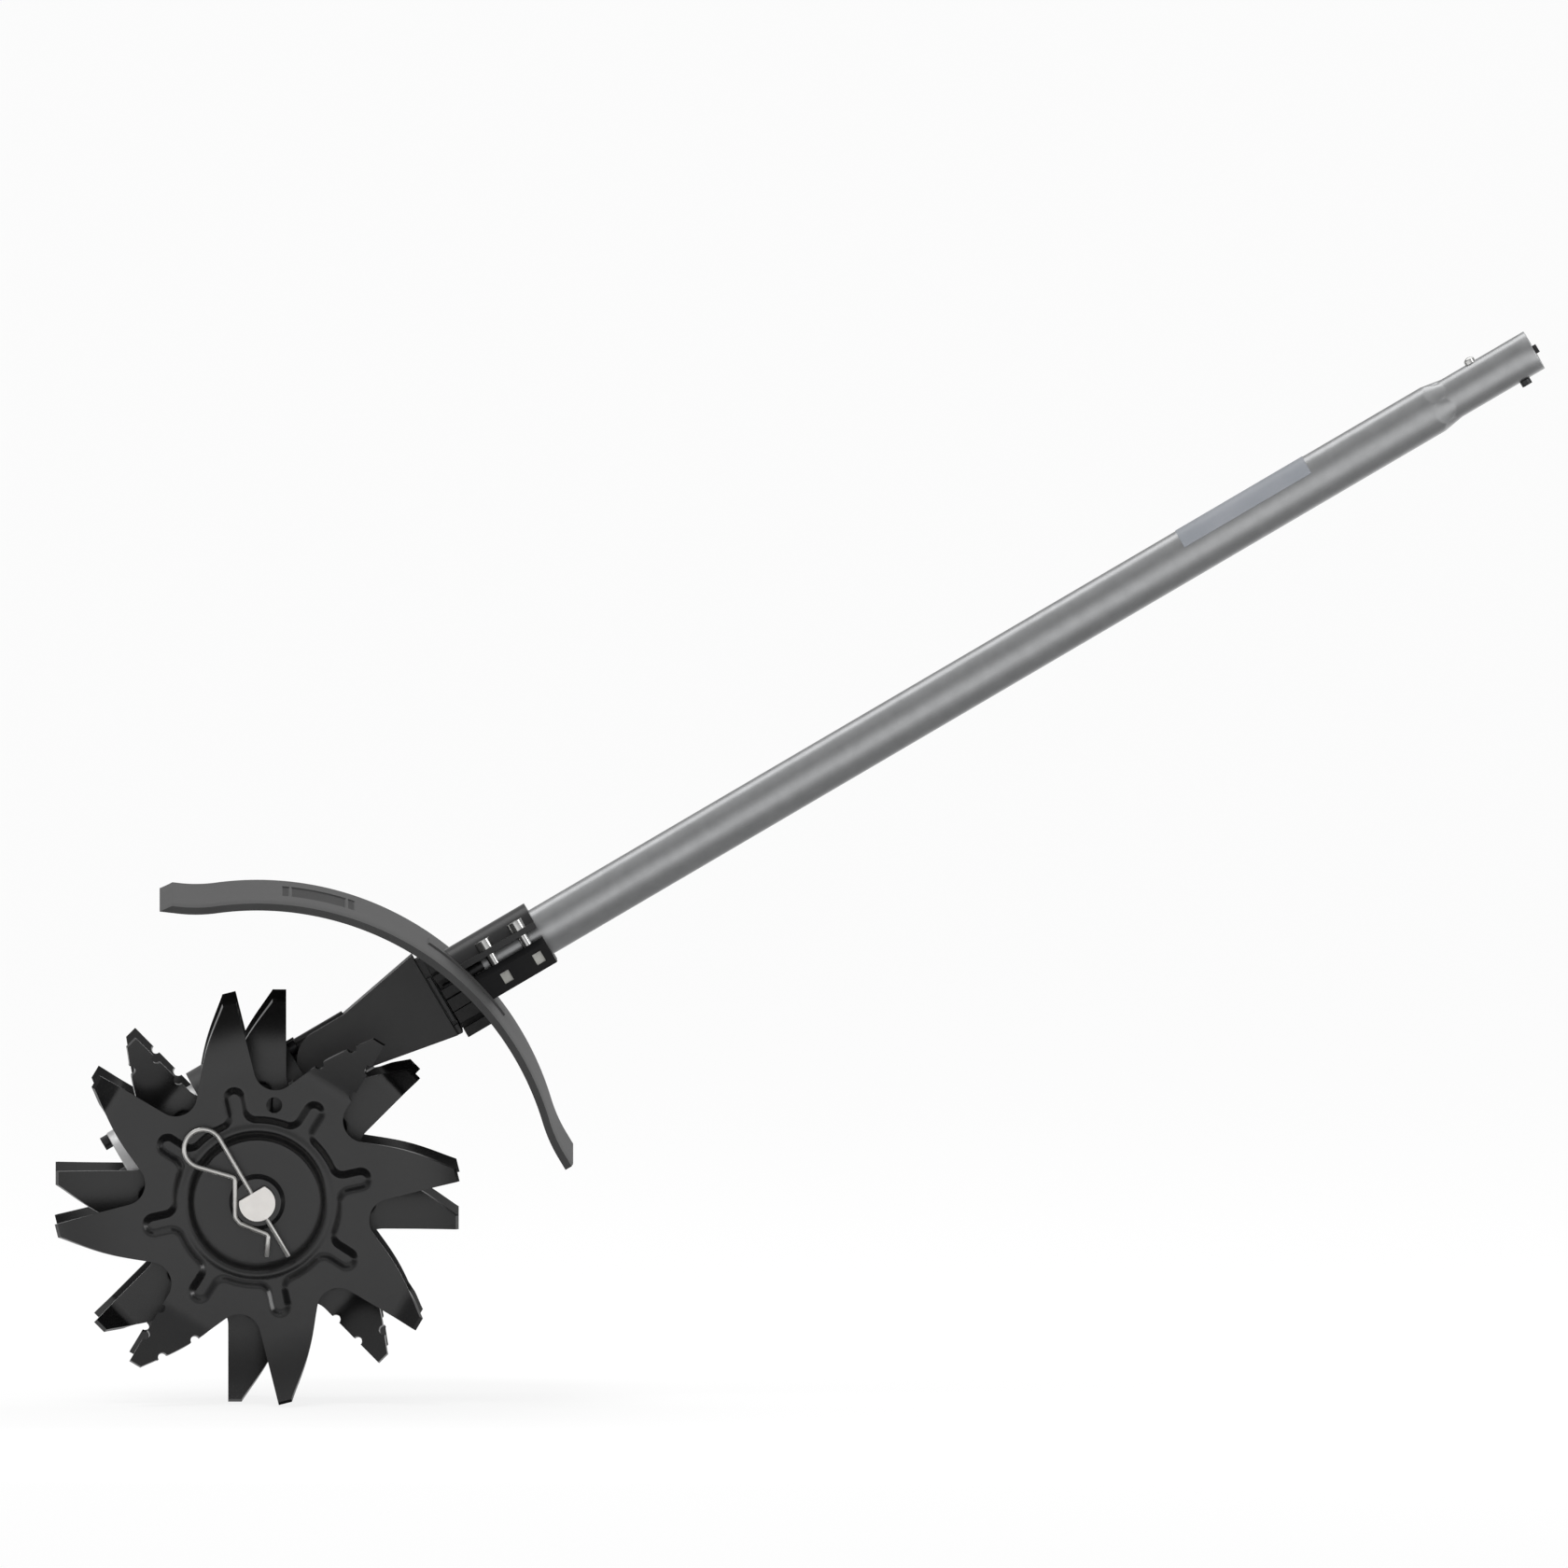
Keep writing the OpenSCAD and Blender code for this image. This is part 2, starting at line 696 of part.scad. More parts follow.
module worm_thread() {
  turns = floor(worm_len / pitch / 2);
  rings = 2 * turns * thread_steps;
  points = [for (i = [0 : rings]) each thread_ring(i - rings / 2)];
  sides = [
    for (i = [0 : rings - 1], j = [0 : 3])
      let (a = 4 * i + j, b = 4 * i + (j + 1) % 4)
        each [[a, a + 4, b], [b, a + 4, b + 4]]
  ];
  last = 4 * rings;
  polyhedron(points, concat([[0, 1, 2], [0, 2, 3]], sides,
    [[last, last + 2, last + 1], [last, last + 3, last + 2]]));
}

module worm() {
  color(bright_steel)
    difference() {
      union() {
        on_tube(front_bearing_x) cylinder(r = journal_r, h = worm_tail - front_bearing_x);
        on_tube(-worm_len / 2) cylinder(r = worm_core_r, h = worm_len);
        on_tube(0) worm_thread();
      }
      on_tube(shaft_foot) cylinder(r = shaft_r + seat, h = shaft_grip + 1);
      translate([shaft_foot + shaft_grip / 2, journal_d, centre_distance])
        rotate([90, 0, 0])
          cylinder(d = lock_pin_d, h = 2 * journal_d);
    }
}

module worm_bearings() {
  color(bright_steel) {
    on_tube(front_bearing_x) ring(bearing_r - seat, journal_r + running, bearing_w);
    on_tube(back_bearing_x) ring(bearing_r - seat, journal_r + running, bearing_w);
  }
}

module drive_seal() {
  color(rubber)
    on_tube(seal_x) ring(bearing_r - seat, journal_r + running, tunnel_back - seal_x - seat);
}

// The whole gear case, before it is parted down the middle
module gear_case() {
  difference() {
    union() {
      on_tube(-tunnel_front) cylinder(r = tunnel_r, h = tunnel_front + tunnel_back);
      on_axle(-housing_half_w) cylinder(r = housing_r, h = 2 * housing_half_w);
      on_axle(-boss_end) cylinder(d = boss_d, h = 2 * boss_end);
      for (a = case_screw_angles)
        rotate([0, -a, 0])
          translate([case_screw_r, 0, 0])
            on_axle(-case_lug_half)
              cylinder(r = case_lug_r, h = 2 * case_lug_half);
    }
    on_tube(-tunnel_front - 1) cylinder(r = bearing_r, h = tunnel_front + tunnel_back + 2);
    on_axle(-chamber_half_w) cylinder(r = chamber_r, h = 2 * chamber_half_w);
    on_axle(-boss_end - 1) cylinder(d = axle_bush_od, h = 2 * boss_end + 2);
    for (a = case_screw_angles)
      rotate([0, -a, 0])
        translate([case_screw_r, 0, 0])
          on_axle(-far / 2)
            cylinder(d = case_screw_d + 2 * hole_play, h = far);
    for (a = [0 : 90 : 270]) {
      on_tube(-tunnel_front - 1)
        rotate([0, 0, a])
          translate([cap_screw_r, 0, 0])
            cylinder(d = small_screw_d, h = cap_thread + 1);
      on_tube(tunnel_back - neck_thread)
        rotate([0, 0, a + 45])
          translate([cap_screw_r, 0, 0])
            cylinder(d = small_screw_d, h = neck_thread + 1);
    }
  }
}

module gear_case_near() {
  color(aluminium)
    intersection() {
      gear_case();
      translate([-far / 2, -far, -far / 2]) cube(far);
    }
}

module gear_case_far() {
  color(aluminium)
    intersection() {
      gear_case();
      translate([-far / 2, 0, -far / 2]) cube(far);
    }
}

module case_screws() {
  color(black_steel)
    for (a = case_screw_angles)
      rotate([0, -a, 0])
        translate([case_screw_r, 0, 0])
          on_axle(case_lug_half)
            cap_screw(case_screw_d, 2 * case_lug_half, case_screw_head_r, case_screw_d);
}

module end_cap() {
  color(aluminium)
    difference() {
      union() {
        on_tube(-tunnel_front - cap_t) cylinder(d = cap_d, h = cap_t);
        on_tube(-tunnel_front - eps) cylinder(r = bearing_r - seat, h = cap_lip);
      }
      for (a = [0 : 90 : 270])
        on_tube(-tunnel_front - cap_t - 1)
          rotate([0, 0, a])
            translate([cap_screw_r, 0, 0])
              cylinder(d = small_screw_d + 2 * hole_play, h = cap_t + 2);
    }
}

module end_cap_screws() {
  color(black_steel)
    for (a = [0 : 90 : 270])
      on_tube(-tunnel_front - cap_t)
        rotate([180, 0, a])
          translate([cap_screw_r, 0, 0])
            cap_screw(small_screw_d, cap_t + cap_thread - 1, cap_head_d / 2, cap_head_t);
}

module neck_housing() {
  nose_x = plate_front + plate_nose_r;
  color(coated_black)
    difference() {
      union() {
        on_tube(tunnel_back) cylinder(r = hood_r, h = neck_flange_t);
        intersection() {
          on_tube(hood_front) ring(hood_r, tunnel_r + seat, tunnel_back - hood_front + eps);
          translate([hood_front - 1, -hood_r - 1, centre_distance])
            cube([tunnel_back + neck_flange_t, 2 * hood_r + 2, hood_r + 1]);
        }
        on_tube(neck_back - eps) cylinder(r = barrel_r, h = flare_start - neck_back);
        translate([nose_x, plate_half_w, centre_distance])
          rotate([90, 0, 0])
            cylinder(r = plate_nose_r, h = 2 * plate_half_w);
        translate([0, plate_half_w, centre_distance])
          rotate([90, 0, 0])
            linear_extrude(2 * plate_half_w)
              polygon([
                [nose_x, -plate_nose_r], [flare_start, -plate_nose_r], [flare_end, -flare_half_h],
                [flare_end, flare_half_h], [flare_start, plate_nose_r], [nose_x, plate_nose_r]
              ]);
      }
      on_tube(tunnel_back - 1) cylinder(r = journal_r + tail_play, h = tube_foot);
      on_tube(tube_foot) cylinder(r = tube_r + seat, h = far);
      for (a = [45 : 90 : 315])
        on_tube(tunnel_back - 1)
          rotate([0, 0, a])
            translate([cap_screw_r, 0, 0]) {
              cylinder(d = small_screw_d + 2 * hole_play, h = neck_flange_t + 2);
              translate([0, 0, neck_flange_t + 1])
                cylinder(d = cap_head_d + 1, h = cap_head_t + wrench_room);
            }
    }
}

module neck_screws() {
  color(black_steel)
    for (a = [45 : 90 : 315])
      on_tube(neck_back)
        rotate([0, 0, a])
          translate([cap_screw_r, 0, 0])
            cap_screw(small_screw_d, neck_flange_t + neck_thread - 1, cap_head_d / 2, cap_head_t);
}

module stop_plate() {
  color(black_plastic)
    difference() {
      union() {
        translate([stop_x, -plate_half_w, centre_distance - flare_half_h])
          cube([stop_t, 2 * plate_half_w, flare_half_h + stop_top]);
        translate([flare_end, -plate_half_w + stop_inset, centre_distance - flare_half_h])
          cube([stop_lip + eps, 2 * (plate_half_w - stop_inset), flare_half_h + stop_core_top]);
        translate([stop_x, -plate_half_w + stop_inset, centre_distance - flare_half_h + stop_foot_gap])
          cube([
            guard_boss_x - seat - stop_x, 2 * (plate_half_w - stop_inset),
            flare_half_h - stop_foot_gap + stop_core_top
          ]);
      }
      on_tube(flare_end - 1) cylinder(r = tube_r + seat, h = guard_boss_x - flare_end + 2);
      both_sides()
        translate([flare_end, -plate_half_w - 1, centre_distance - stop_notch_drop - stop_notch_h])
          cube([stop_lip + stop_t + 1, stop_notch_w + 1, stop_notch_h]);
    }
}

// A flared edge of the guard: it leaves the arc at angle a, runs towards angle d and has
// a tongue that reaches back into the arc
module guard_lip(a, d, length) {
  inner = polar(guard_r, a);
  outer = polar(guard_out, a);
  back = a - sign(d - a);
  inner_end = inner + polar(length, d);
  outer_run = (inner_end[1] - outer[1]) / sin(d);
  polygon([
    polar(guard_r + guard_t / 4, back), inner, inner_end,
    outer + polar(outer_run, d), outer, polar(guard_out - guard_t / 4, back)
  ]);
}

// A band of the guard's outer surface, between two radii, centred on an angle
module guard_band(r0, r1, angle, half_angle, width) {
  rotate([0, 0, angle - half_angle])
    rotate_extrude(angle = 2 * half_angle)
      translate([r0, -width / 2]) square([r1 - r0, width]);
}

module guard() {
  panel_half = panel_len / guard_out * 90 / PI;
  strip_half = strip_w / guard_out * 90 / PI;
  groove_len = guard_r - guard_boss_x - groove_floor;
  groove_y = tube_r + groove_web;
  color(grey_plastic)
    difference() {
      union() {
        on_axle()
          guard_band(guard_r, guard_out, (guard_front_angle + guard_rear_angle) / 2,
            (guard_front_angle - guard_rear_angle) / 2, guard_w);
        on_axle(-guard_w / 2)
          linear_extrude(guard_w) {
            guard_lip(guard_front_angle, guard_front_angle + 90 - lip_angle, front_lip);
            guard_lip(guard_rear_angle, guard_rear_angle - 90 + lip_angle, rear_lip);
          }
        on_axle() guard_band(guard_out - eps, pad_out, tube_cross_angle, pad_half_angle, 2 * pad_half_w);
        intersection() {
          translate([guard_boss_x, -guard_boss_half_w, centre_distance - guard_boss_bottom])
            cube([guard_r - guard_boss_x, 2 * guard_boss_half_w, guard_boss_top + guard_boss_bottom]);
          on_axle(-guard_w / 2) cylinder(r = guard_r + guard_t / 2, h = guard_w);
        }
      }
      on_tube(guard_boss_x - 1) cylinder(r = tube_r + seat, h = far);
      both_sides() {
        translate([guard_boss_x - 1, -far - groove_y, centre_distance - guard_boss_bottom + foot_rib])
          cube([groove_len, far, low_groove_w]);
        translate([guard_boss_x - 1, -far - groove_y, centre_distance + groove_rise - groove_w / 2])
          cube([groove_len, far, groove_w]);
        translate([guard_seat_x, -guard_screw_y, centre_distance + guard_screw_z])
          rotate([0, 90, 0]) {
            translate([0, 0, -guard_screw_depth]) cylinder(d = guard_screw_d, h = far);
            cylinder(r = spot_r, h = far);
          }
      }
      on_axle() {
        guard_band(guard_out - panel_depth, guard_out + 1, panel_angle, panel_half, panel_w);
        for (side = [-1, 1])
          guard_band(guard_out - panel_depth, guard_out + 1,
            panel_angle + side * (panel_half + 2 * strip_half), strip_half, panel_w);
      }
    }
}

module guard_screws() {
  color(bright_steel)
    both_sides()
      translate([guard_seat_x, -guard_screw_y, centre_distance + guard_screw_z])
        rotate([0, 90, 0]) {
          translate([0, 0, -guard_screw_depth + seat]) cylinder(d = guard_screw_d, h = guard_screw_depth);
          cylinder(r = washer_r, h = washer_t);
          cylinder(d = guard_screw_head_d, h = guard_screw_reach);
        }
}

// The blank from which one half of the clamp is cut
module clamp_blank(low, high, ear_low, ear_high) {
  intersection() {
    union() {
      on_tube(clamp_foot) cylinder(r = clamp_r, h = clamp_end - clamp_foot);
      translate([clamp_foot, -clamp_half_w, centre_distance + ear_low])
        cube([clamp_end - clamp_foot, 2 * clamp_half_w, ear_high - ear_low]);
    }
    translate([0, -far / 2, centre_distance + low]) cube([far, far, high - low]);
  }
}

// Cuts what both clamp halves share: the tube, the guard's pad and the screws' room
module clamp_cuts() {
  on_tube(clamp_foot - 1) cylinder(r = tube_r + seat, h = far);
  on_axle(-far / 2) cylinder(r = pad_out + seat, h = far);
  both_sides() {
    translate([guard_seat_x - hole_play, -guard_screw_y, centre_distance + guard_screw_z])
      rotate([0, 90, 0])
        cylinder(r = spot_r, h = guard_screw_reach + 2 * hole_play);
    for (x = clamp_screw_x)
      translate([x, -clamp_screw_y, centre_distance - far / 2])
        cylinder(d = clamp_screw_d + 2 * hole_play, h = far);
  }
}

module clamp_upper() {
  color(black_plastic)
    difference() {
      clamp_blank(ear_top - ear_t, clamp_r + 1, ear_top - ear_t, ear_top);
      clamp_cuts();
      both_sides()
        for (x = clamp_screw_x)
          translate([x, -clamp_screw_y, centre_distance + ear_top])
            cylinder(r = clamp_head_r + hole_play, h = clamp_r);
    }
}

module clamp_lower() {
  color(black_plastic)
    difference() {
      clamp_blank(-clamp_r - 1, -block_top, -block_bottom, -block_top);
      clamp_cuts();
      both_sides()
        for (x = clamp_screw_x) {
          translate([x - nut_w / 2 - seat, -clamp_screw_y - nut_w / 2 - seat, nut_foot - seat])
            cube([nut_w + 2 * seat, nut_w + clamp_screw_y, nut_h + 2 * seat]);
          translate([x + nut_window_shift - nut_window_w / 2, -clamp_half_w - 1, nut_foot])
            cube([nut_window_w, clamp_half_w - clamp_screw_y + 1, nut_h]);
        }
      both_sides()
        translate([clamp_foot, -clamp_half_w, centre_distance - block_top])
          rotate([45, 0, 0])
            translate([0, -far / 2, -block_chamfer / sqrt(2)])
              cube([far, far, far]);
    }
}

module clamp_screws() {
  color(bright_steel)
    both_sides()
      for (x = clamp_screw_x)
        translate([x, -clamp_screw_y, centre_distance + ear_top])
          cap_screw(clamp_screw_d, ear_top + clamp_thread_end, clamp_head_r, clamp_head_t);
}

module clamp_nuts() {
  color(bright_steel)
    both_sides()
      for (x = clamp_screw_x)
        difference() {
          translate([x - nut_w / 2, -clamp_screw_y - nut_w / 2, nut_foot])
            cube([nut_w, nut_w, nut_h]);
          translate([x, -clamp_screw_y, centre_distance - far / 2])
            cylinder(d = clamp_screw_d, h = far);
        }
}

module axle_bushes() {
  color(bronze)
    both_sides()
      on_axle(bush_start) ring(axle_bush_od / 2 - seat, axle_bore_r, axle_bush_len);
}

module axle_seals() {
  color(rubber)
    both_sides()
      on_axle(seal_start) ring(axle_bush_od / 2 - seat, axle_bore_r, boss_end - seal_start);
}

module tine_axle() {
  color(bright_steel)
    difference() {
      on_axle(-axle_half_len) cylinder(r = axle_r, h = 2 * axle_half_len);
      translate([-key_w / 2, -key_half_len, axle_r - key_w / 2])
        cube([key_w, 2 * key_half_len, key_w]);
      both_sides() {
        translate([-axle_d, -far - flat_start, axle_flat]) cube([2 * axle_d, far, axle_d]);
        translate([0, -hairpin_plane, -axle_d]) cylinder(r = wire_r + hole_play, h = 2 * axle_d);
      }
    }
}

// One straight-sided wheel tooth, on top of the wheel and turned to the thread's lead
module wheel_tooth() {
  root_w = tooth_w + 2 * dedendum * tan(pressure_angle);
  crest_w = tooth_w - 2 * addendum * tan(pressure_angle);
  rotate([0, 0, -lead_angle])
    on_axle(-wheel_half_face)
      linear_extrude(2 * wheel_half_face)
        polygon([
          [-root_w / 2, wheel_pitch_r - dedendum - 1], [root_w / 2, wheel_pitch_r - dedendum - 1],
          [root_w / 2, wheel_pitch_r - dedendum], [crest_w / 2, wheel_pitch_r + addendum],
          [-crest_w / 2, wheel_pitch_r + addendum], [-root_w / 2, wheel_pitch_r - dedendum]
        ]);
}

module worm_wheel() {
  color(bronze)
    difference() {
      union() {
        on_axle(-wheel_half_hub) cylinder(d = wheel_hub_d, h = 2 * wheel_half_hub);
        on_axle(-wheel_half_face) cylinder(r = wheel_pitch_r - dedendum, h = 2 * wheel_half_face);
        for (i = [0 : wheel_teeth - 1])
          rotate([0, (i + 0.5) * 360 / wheel_teeth, 0]) wheel_tooth();
      }
      on_axle(-far / 2) cylinder(r = axle_r + seat, h = far);
      translate([-key_w / 2, -far / 2, 0]) cube([key_w, far, axle_r + key_w / 2 + seat]);
    }
}

module wheel_key() {
  color(bright_steel)
    translate([-key_w / 2 + seat, -key_half_len + seat, axle_r - key_w / 2])
      cube([key_w - 2 * seat, 2 * key_half_len - 2 * seat, key_w]);
}

module thrust_washers() {
  color(bright_steel)
    both_sides()
      on_axle(boss_end + side_gap) ring(collar_r, axle_r + seat, thrust_t);
}

// A hub tube with a D bore, and the collar that its disc is welded to
module hub(start, end, disc_face) {
  floor_y = disc_face - dish_depth;
  color(bright_steel)
    difference() {
      union() {
        on_axle(start) cylinder(r = hub_r, h = end - start);
        on_axle(floor_y) cylinder(r1 = collar_r, r2 = hub_r, h = collar_r - hub_r);
      }
      difference() {
        on_axle(start - 1) cylinder(r = hub_bore_r, h = end - start + 2);
        translate([-axle_d, -far, hub_flat]) cube([2 * axle_d, far, axle_d]);
      }
    }
}

module inner_hubs() {
  both_sides() hub(hub_start, hub_split - side_gap / 2, inner_plane);
}

module outer_hubs() {
  both_sides() hub(hub_split + side_gap / 2, hub_end, outer_plane);
}

// Bend of a tooth: its radius if it is curved, its crease if not, and the angle at its tip
function bend_radius() = (pow(tip_x - curve_start, 2) + pow(tip_throw, 2)) / (2 * tip_throw);
function crease(kind) = kind == notched ? notch_crease : hook_crease;
function bend_angle(kind) = kind == curved
  ? asin((tip_x - curve_start) / bend_radius())
  : atan(tip_throw / (tip_x - crease(kind)));
function bend_start(kind) = kind == curved
  ? curve_start
  : crease(kind) - tine_t * tan(bend_angle(kind) / 2);
function tip_end(kind, over) = over ? tip_x - tine_t * sin(bend_angle(kind)) : tip_x;

// Height of a creased tooth at a distance from the axle, over or under the plate
function creased_h(kind, x, over) =
  let (rise = tan(bend_angle(kind)))
    over ? tine_t + max(0, x - bend_start(kind)) * rise : max(0, x - crease(kind)) * rise;

// A curved tooth's bend seen from the side, from its start to the tip
function curved_side(over) = [
  for (i = [0 : curve_steps])
    let (a = bend_angle(curved) * i / curve_steps, r = bend_radius(), t = over ? tine_t : 0)
      [curve_start + (r - t) * sin(a), r - (r - t) * cos(a)]
];

// Half a circle of points for a notch, between two angles
function notch_arc(centre, from, to) = [
  for (i = [0 : notch_steps]) centre + polar(notch_r, from + (to - from) * i / notch_steps)
];

// A creased tooth's straight edge and tapered edge in plan, with the notches of a notched one
function straight_plan(kind, over) = concat(
  [[bend_start(kind), -edge_offset], [crease(kind), -edge_offset]],
  kind == notched
    ? [for (x = notch_edge_x) each notch_arc([x, -edge_offset], 180, 0)]
    : [],
  [[tip_end(kind, over), -edge_offset]]
);
function taper_plan(kind, over) = concat(
  [[tip_end(kind, over), taper_y(tip_end(kind, over))]],
  kind == notched
    ? [
        for (x = notch_taper_x)
          each notch_arc([x, taper_y(x)], -tooth_taper, -tooth_taper - 180)
      ]
    : [],
  [for (x = [crease(kind), bend_start(kind)]) [x, taper_y(x)]]
);

// A tooth's two edges: out along the straight edge and back along the tapered edge
function tooth_edges(kind, over) = kind == curved
  ? let (side = curved_side(over))
      concat(
        [for (p = side) [p[0], -edge_offset, p[1]]],
        [for (i = [curve_steps : -1 : 0]) [side[i][0], taper_y(side[i][0]), side[i][1]]]
      )
  : [
      for (p = concat(straight_plan(kind, over), taper_plan(kind, over)))
        [p[0], p[1], creased_h(kind, p[0], over)]
    ];

// The round valley after a tooth
function valley(h) =
  let (from = 270 - tooth_taper, to = 90 + tooth_pitch)
  [
    for (i = [0 : valley_steps])
      let (p = valley_centre + polar(valley_r, from + (to - from) * i / valley_steps))
        [p[0], p[1], h]
  ];

function tooth_kind(k) = tooth_kinds[k % len(tooth_kinds)];
function edge_total(k) = len(tooth_edges(tooth_kind(k), true));
function block_start(k) = k == 0 ? 0 : block_start(k - 1) + edge_total(k - 1) + valley_steps + 1;

// Points in plan, lifted to a height
function lifted(points, h) = [for (p = points) [p[0], p[1], h]];

function star_outline(over) = [
  for (k = [0 : tooth_count - 1])
    for (p = concat(tooth_edges(tooth_kind(k), over), valley(over ? tine_t : 0)))
      let (q = turned([p[0], p[1]], k * tooth_pitch))
        [q[0], q[1], p[2]]
];

// The pressed outline: round the step, and out and back along each rib
function press_line(r, half_w, reach) =
  let (
    a = asin(half_w / r),
    mouth = sqrt(r * r - half_w * half_w),
    rib = concat(
      [[mouth, -half_w]],
      [for (i = [0 : rib_steps]) [reach - half_w, 0] + polar(half_w, -90 + 180 * i / rib_steps)],
      [[mouth, half_w]],
      [for (i = [1 : step_steps - 1]) polar(r, a + (tooth_pitch - 2 * a) * i / step_steps)]
    )
  )
  [for (k = [0 : tooth_count - 1]) for (p = rib) turned(p, k * tooth_pitch + rib_turn)];

function dish_circle(r) = [
  for (j = [0 : tooth_count * dish_steps - 1]) polar(r, (j / dish_steps - dish_lead) * tooth_pitch + rib_turn)
];

function small_hole() = [
  for (j = [0 : hole_steps - 1])
    turned([disc_hole_r, 0] + polar(disc_hole_d / 2, 360 * j / hole_steps), disc_hole_turn)
];

// All points of one face of the disc, from the outside in, and the small hole last
function disc_points(over) =
  let (
    top = over ? tine_t : 0,
    wall = over ? 0 : press_wall,
    half_w = rib_w / 2 + wall
  )
  concat(
    star_outline(over),
    lifted(press_line(step_r + wall, half_w, rib_end_r + wall), top),
    lifted(press_line(step_r + wall - press_wall, half_w - press_wall, rib_end_r + wall - press_wall),
      top - step_depth),
    lifted(dish_circle(dish_r + wall), top - step_depth),
    lifted(dish_circle(floor_r + wall), top - dish_depth),
    lifted(dish_circle(hub_r + seat), top - dish_depth),
    lifted(small_hole(), top)
  );

// Faces between an inner and an outer line of as many points
function band(inner, outer, total) = [
  for (j = [0 : total - 1])
    let (n = (j + 1) % total)
      each [[inner + j, outer + j, outer + n], [inner + j, outer + n, inner + n]]
];

// Faces from the disc's lower points to its upper ones, along a line of points
function rim_wall(first, total, lift) = [
  for (j = [0 : total - 1])
    let (a = first + j, b = first + (j + 1) % total)
      each [[a, a + lift, b + lift], [a, b + lift, b]]
];

// Splits a face into triangles, seen in plan: cuts off one ear after another
function corner(a, b, c) = (b[0] - a[0]) * (c[1] - a[1]) - (b[1] - a[1]) * (c[0] - a[0]);
function holds(a, b, c, p) = corner(a, b, p) >= 0 && corner(b, c, p) >= 0 && corner(c, a, p) >= 0;
function ear(loop, i) =
  let (n = len(loop)) [loop[(i + n - 1) % n], loop[i], loop[(i + 1) % n]];
function is_ear(points, e, loop) =
  let (a = points[e[0]], b = points[e[1]], c = points[e[2]])
    corner(a, b, c) > eps
      && len([for (j = loop) if (j != e[0] && j != e[1] && j != e[2] && holds(a, b, c, points[j])) j]) == 0;
function first_ear(points, loop, i = 0) =
  is_ear(points, ear(loop, i), loop) ? i : first_ear(points, loop, i + 1);
function ears(points, loop) = len(loop) == 3
  ? [loop]
  : let (i = first_ear(points, loop))
      concat([ear(loop, i)], ears(points, [for (j = [0 : len(loop) - 1]) if (j != i) loop[j]]));

function backwards(list) = [for (i = [len(list) - 1 : -1 : 0]) list[i]];
function run(from, to) = from > to ? [for (i = [from : -1 : to]) i] : [for (i = [from : to]) i];

// A tine disc with its inner face at zero and its teeth bent up
module tine_disc() {
  outline_total = block_start(tooth_count);
  rib_block = rib_steps + step_steps + 2;
  press_total = tooth_count * rib_block;
  circle_total = tooth_count * dish_steps;
  press = outline_total;
  step = press + press_total;
  dish = step + press_total;
  floor_ring = dish + circle_total;
  hub_ring = floor_ring + circle_total;
  hole = hub_ring + circle_total;
  lift = hole + hole_steps;

  teeth = [
    for (k = [0 : tooth_count - 1])
      let (s = block_start(k), last = edge_total(k) - 1)
        each tooth_kind(k) == notched
          ? [[s, s + 1, s + last - 1, s + last], run(s + 1, s + last - 1)]
          : [for (i = [0 : (last - 1) / 2 - 1]) [s + i, s + i + 1, s + last - i - 1, s + last - i]]
  ];
  flats = [
    for (k = [0 : tooth_count - 1])
      let (
        s = block_start(k),
        valley_first = s + edge_total(k),
        valley_mid = valley_first + valley_steps / 2,
        next = (k + 1) % tooth_count,
        next_start = block_start(next),
        rib = press + k * rib_block,
        next_rib = press + next * rib_block,
        rib_last = rib + rib_block - 1,
        rib_mid = rib_last - step_steps / 2 + 1
      )
        each k == hole_sector
          ? [
              concat([s], run(valley_first - 1, valley_mid), [hole],
                run(hole + hole_steps - 1, hole + hole_steps / 2), run(rib_mid, rib)),
              concat(run(valley_mid, valley_first + valley_steps), [next_start, next_rib],
                run(rib_last, rib_mid), run(hole + hole_steps / 2, hole))
            ]
          : [
              concat([s], run(valley_first - 1, valley_first + valley_steps), [next_start, next_rib],
                run(rib_last, rib))
            ]
  ];
  step_floors = [
    for (k = [0 : tooth_count - 1])
      let (next = (k + 1) % tooth_count, rib = step + k * rib_block, circle = dish + k * dish_steps)
        concat(run(rib, rib + rib_block - 1), [step + next * rib_block, dish + next * dish_steps],
          run(circle + dish_steps - 1, circle))
  ];
  loops = concat(teeth, flats, step_floors);
  bands = concat(
    band(step, press, press_total),
    band(floor_ring, dish, circle_total), band(hub_ring, floor_ring, circle_total)
  );
  under = disc_points(false);
  over = disc_points(true);
  lower = concat([for (f = loops) each ears(under, f)], bands);
  upper = [
    for (f = concat([for (f = loops) each ears(over, f)], bands))
      [for (i = backwards(f)) i + lift]
  ];
  walls = concat(
    rim_wall(0, outline_total, lift),
    [for (f = rim_wall(hub_ring, circle_total, lift)) backwards(f)],
    [for (f = rim_wall(hole, hole_steps, lift)) backwards(f)]
  );
  color(coated_black)
    polyhedron(concat(under, over), concat(lower, upper, walls));
}

module near_disc(plane, turn) {
  on_axle(plane - tine_t) rotate([0, 0, turn]) tine_disc();
}

module tine_outer_near() { near_disc(outer_plane, first_turn); }
module tine_inner_near() { near_disc(inner_plane, second_turn); }
module tine_inner_far() { mirror([0, 1, 0]) near_disc(inner_plane, first_turn); }
module tine_outer_far() { mirror([0, 1, 0]) near_disc(outer_plane, second_turn); }

// The wire's route in its plane: up the straight leg, round the loop and down the sprung leg
function hairpin_route() =
  let (centre = [-loop_r, loop_height])
  concat(
    [[0, -leg_drop], [0, 0]],
    [for (i = [0 : loop_steps]) centre + polar(loop_r, loop_turn * i / loop_steps)],
    sprung_leg
  );

